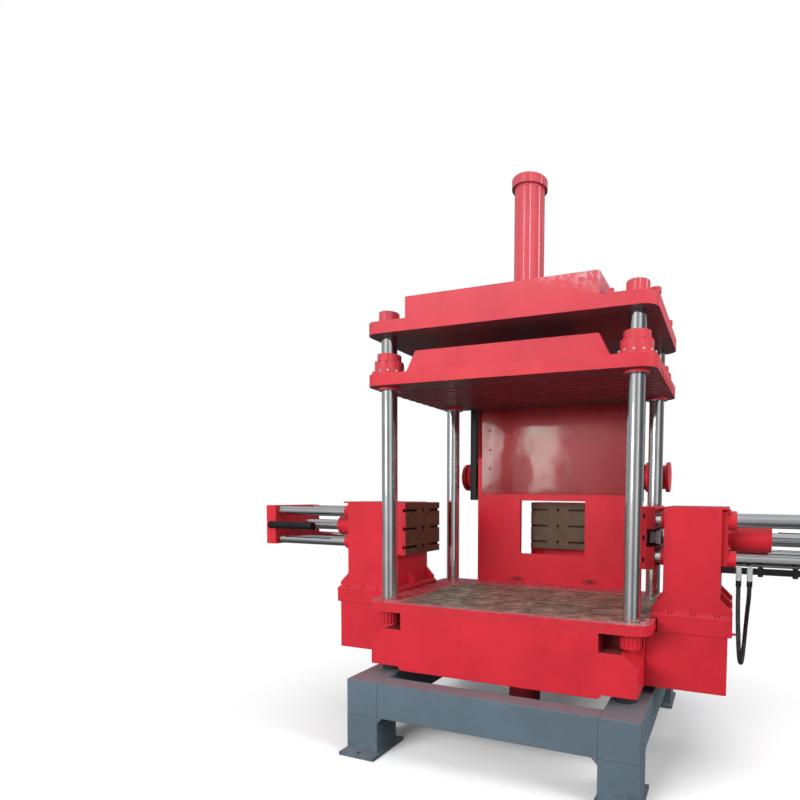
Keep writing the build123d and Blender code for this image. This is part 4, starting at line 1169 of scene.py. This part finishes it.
class MACHINE_OT_cylinder_fasteners(bpy.types.Operator):
    """Bolts the main cylinder to the crown and the ram to the platen"""

    bl_idname = "machine.cylinder_fasteners"
    bl_label = "Cylinder Fasteners"

    def execute(self, context):
        cylinder_flange = CROWN_TOP + 45 * MM
        crown = bmesh.new()
        for spot in ring_spots((0, 0, cylinder_flange), UP, 0.128, 12):
            add_hex_screw(crown, spot, UP, 0.030)
        piece_from("cylinder_flange_bolts", crown, "frame", "red_paint")
        ram_flange = PLATEN_TOP + 42 * MM
        ram = bmesh.new()
        for spot in ring_spots((0, 0, ram_flange), UP, 0.096, 8, math.pi / 8):
            add_cap_screw(ram, spot, UP, 0.022)
        soften_faces(ram)
        piece_from("ram_flange_screws", ram, "platen", "red_paint")
        return {"FINISHED"}


class MACHINE_OT_housing_screws(bpy.types.Operator):
    """Sets the screws into the hubs of the two rack housings"""

    bl_idname = "machine.housing_screws"
    bl_label = "Housing Screws"

    def execute(self, context):
        screws = bmesh.new()
        for side in (-1, 1):
            out = Vector((side, 0, 0))
            for spot in ring_spots((side * 0.733, 0.656, 1.760), out, 0.099, 8, math.pi / 8):
                add_cap_screw(screws, spot, out, 0.016)
        soften_faces(screws)
        piece_from("hub_screws", screws, "frame", "red_paint")
        return {"FINISHED"}


class MACHINE_OT_core_fasteners(bpy.types.Operator):
    """Bolts the three core pulls, their cylinders and their backing plates, and fills their slots"""

    bl_idname = "machine.core_fasteners"
    bl_label = "Core Fasteners"

    def execute(self, context):
        for pull, (out, side, _) in CORE_PULLS.items():
            at = partial(core_point, pull)
            # Six bolts hold the base plate, whose top is 428 mm below the axis.
            fixed = bmesh.new()
            for across in (-0.296, 0.296):
                for reach in (0.994, 1.123, 1.250):
                    add_hex_screw(fixed, at(reach, across, -0.428), UP, 0.019)
            # The cylinder's mounting plate has eight screws at its sides and eight round the barrel.
            mounting = 1.295
            for across in (-1, 1):
                for place, height in ((0.212, -0.045), (0.212, 0.045), (0.215, -0.160), (0.215, 0.160)):
                    add_cap_screw(fixed, at(mounting, across * place, height), out, 0.020)
            for spot in ring_spots(at(mounting, 0.0), out, 0.104, 8, math.pi / 8):
                add_cap_screw(fixed, spot, out, 0.020)
            soften_faces(fixed)
            piece_from(pull + "_core_screws", fixed, "frame", "red_paint", "polished_red")

            moving = bmesh.new()
            for across in (-0.200, -0.070, 0.070, 0.200):
                for height in (-0.165, 0.165):
                    add_cap_screw(moving, at(0.892, across, height), out, 0.018)
            soften_faces(moving)
            piece_from(pull + "_backing_screws", moving, pull + "_core", "red_paint")

            # The coupling's split clamp sits in the backing plate's open slot.
            clamp = bmesh.new()
            for low, high, half in ((0.850, 0.872, 0.036), (0.872, 0.884, 0.029), (0.884, 0.914, 0.040)):
                size = out * (high - low) + side * 0.084 + UP * 2 * half
                add_box(clamp, at((low + high) / 2, -0.088), size)
            piece_from(pull + "_coupling_clamp", clamp, pull + "_core", "zinc_fitting")

            # A plug near the end of each clamping slot keeps swarf out.
            plugs = bmesh.new()
            for height in (-0.129, 0.0, 0.129):
                for low, high, tall in ((0.8125, 0.824, 0.0156), (0.824, 0.8338, 0.0296)):
                    size = out * (high - low) + side * 0.006 + UP * tall
                    add_box(plugs, at((low + high) / 2, -0.205, height), size)
            piece_from(pull + "_slot_plugs", plugs, pull + "_core", "black_steel")
        return {"FINISHED"}


class MACHINE_OT_panel_fasteners(bpy.types.Operator):
    """Screws the upper panel and its hem to the rear wall"""

    bl_idname = "machine.panel_fasteners"
    bl_label = "Panel Fasteners"

    def execute(self, context):
        screws = bmesh.new()
        for x in (-0.531, 0.531):
            for index in range(5):
                spot = (x, PANEL_FRONT, 1.680 + 0.150 * index)
                add_hex_screw(screws, spot, FRONT, 0.014, washer=False)
        for x, z in ((-0.574, 1.485), (-0.528, 1.364), (-0.590, 1.189), (-0.525, 0.962)):
            for side in (1, -1):
                add_hex_screw(screws, (x * side, WALL_FRONT, z), FRONT, 0.016, washer=False)
        piece_from("panel_screws", screws, "frame", "red_paint")

        hem = bmesh.new()
        add_box(hem, (0.0, 0.5435, 1.6345), (1.194, 0.005, 0.013))
        roll_edges(hem, list(hem.edges), 0.0015, 2)
        piece_from("panel_hem", hem, "frame", "gloss_red_panel")
        return {"FINISHED"}


class MACHINE_OT_weld_beads(bpy.types.Operator):
    """Lays the fillet welds of the platen ribs, the core pedestals and the base frame"""

    bl_idname = "machine.weld_beads"
    bl_label = "Weld Beads"

    def execute(self, context):
        leg = context.scene.casting_fasteners.weld_leg

        ribs = bmesh.new()
        for y, side in ((-0.455, FRONT), (-0.395, BACK), (0.455, BACK), (0.395, FRONT)):
            add_weld(ribs, (-0.668, y, PLATEN_TOP), (0.668, y, PLATEN_TOP), side, UP, leg)
        soften_faces(ribs, 60.0)
        piece_from("rib_welds", ribs, "platen", "red_paint")

        # Stitches between the bolts hold each pedestal's foot to its base plate.
        foot = -0.416
        for pull, (_, side, _) in CORE_PULLS.items():
            feet = bmesh.new()
            for across in (-0.280, 0.280):
                for stitch in ((0.962, 0.978), (1.016, 1.102), (1.144, 1.230)):
                    start, end = (core_point(pull, reach, across, foot) for reach in stitch)
                    add_weld(feet, start, end, side * across, UP, leg * 1.3)
            soften_faces(feet, 60.0)
            piece_from(pull + "_foot_welds", feet, "frame", "red_paint", "polished_red")

        # A bead under the beams runs along the back of each front leg.
        corners = bmesh.new()
        for x in (-1, 1):
            start, end = ((x * reach, -0.531, 0.244) for reach in (0.688, 0.908))
            add_weld(corners, start, end, BACK, -UP, leg)
        soften_faces(corners, 60.0)
        piece_from("frame_welds", corners, "frame", "grey_paint")
        return {"FINISHED"}


class MACHINE_OT_small_fittings(bpy.types.Operator):
    """Adds the plugs on the crown and the right riser, and the rubber ball on the bed"""

    bl_idname = "machine.small_fittings"
    bl_label = "Small Fittings"

    def execute(self, context):
        lug = bmesh.new()
        add_cone(lug, 24, 0.017, 0.015, 0.026, Matrix.Translation((0.672, -0.521, 2.713)))
        soften_faces(lug)
        piece_from("crown_plug", lug, "frame", "red_paint")

        # A plug on the right riser: a painted barrel and a bare stem.
        for name, low, high, radius, slot in (
            ("riser_plug", 1.330, 1.358, 0.007, "red_paint"),
            ("riser_plug_stem", 1.358, 1.378, 0.003, "zinc_fitting"),
        ):
            plug = bmesh.new()
            place = facing(((low + high) / 2, -0.288, 0.861), (1, 0, 0))
            add_cone(plug, 20, radius, radius * 0.9, high - low, place)
            soften_faces(plug)
            piece_from(name, plug, "frame", slot)

        ball = bmesh.new()
        radius = 0.008
        bmesh.ops.create_uvsphere(
            ball,
            u_segments=16,
            v_segments=10,
            radius=radius,
            matrix=Matrix.Translation((-0.877, 0.275, BED_TOP + radius)),
        )
        soften_faces(ball)
        piece_from("bed_stop_ball", ball, "frame", "black_rubber")
        return {"FINISHED"}


class MACHINE_PT_casting(bpy.types.Panel):
    """Lists the machine's groups of pieces"""

    bl_idname = "MACHINE_PT_casting"
    bl_label = "Casting Machine"
    bl_space_type = "VIEW_3D"
    bl_region_type = "UI"
    bl_category = "Casting"

    def draw(self, context):
        scene = context.scene
        for group in (scene.casting_paint, scene.casting_metal, scene.casting_fasteners):
            box = self.layout.box()
            for name in group.bl_rna.properties.keys():
                if name not in {"rna_type", "name"}:
                    box.prop(group, name)
        column = self.layout.column()
        for operator in OPERATORS:
            column.operator(operator.bl_idname)


OPERATORS = (
    MACHINE_OT_studio_stage,
    MACHINE_OT_core_hose,
    MACHINE_OT_painted_castings,
    MACHINE_OT_bare_parts,
    MACHINE_OT_bush_screws,
    MACHINE_OT_cylinder_fasteners,
    MACHINE_OT_housing_screws,
    MACHINE_OT_core_fasteners,
    MACHINE_OT_panel_fasteners,
    MACHINE_OT_weld_beads,
    MACHINE_OT_small_fittings,
)
CLASSES = (PaintSettings, MetalSettings, FastenerSettings) + OPERATORS + (MACHINE_PT_casting,)


def register():
    for cls in CLASSES:
        bpy.utils.register_class(cls)
    bpy.types.Scene.casting_paint = PointerProperty(type=PaintSettings)
    bpy.types.Scene.casting_metal = PointerProperty(type=MetalSettings)
    bpy.types.Scene.casting_fasteners = PointerProperty(type=FastenerSettings)


def unregister():
    del bpy.types.Scene.casting_fasteners
    del bpy.types.Scene.casting_metal
    del bpy.types.Scene.casting_paint
    for cls in reversed(CLASSES):
        bpy.utils.unregister_class(cls)


def main():
    """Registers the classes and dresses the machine."""
    register()
    for operator in OPERATORS:
        group, name = operator.bl_idname.split(".")
        getattr(getattr(bpy.ops, group), name)()


if __name__ == "__main__":
    main()
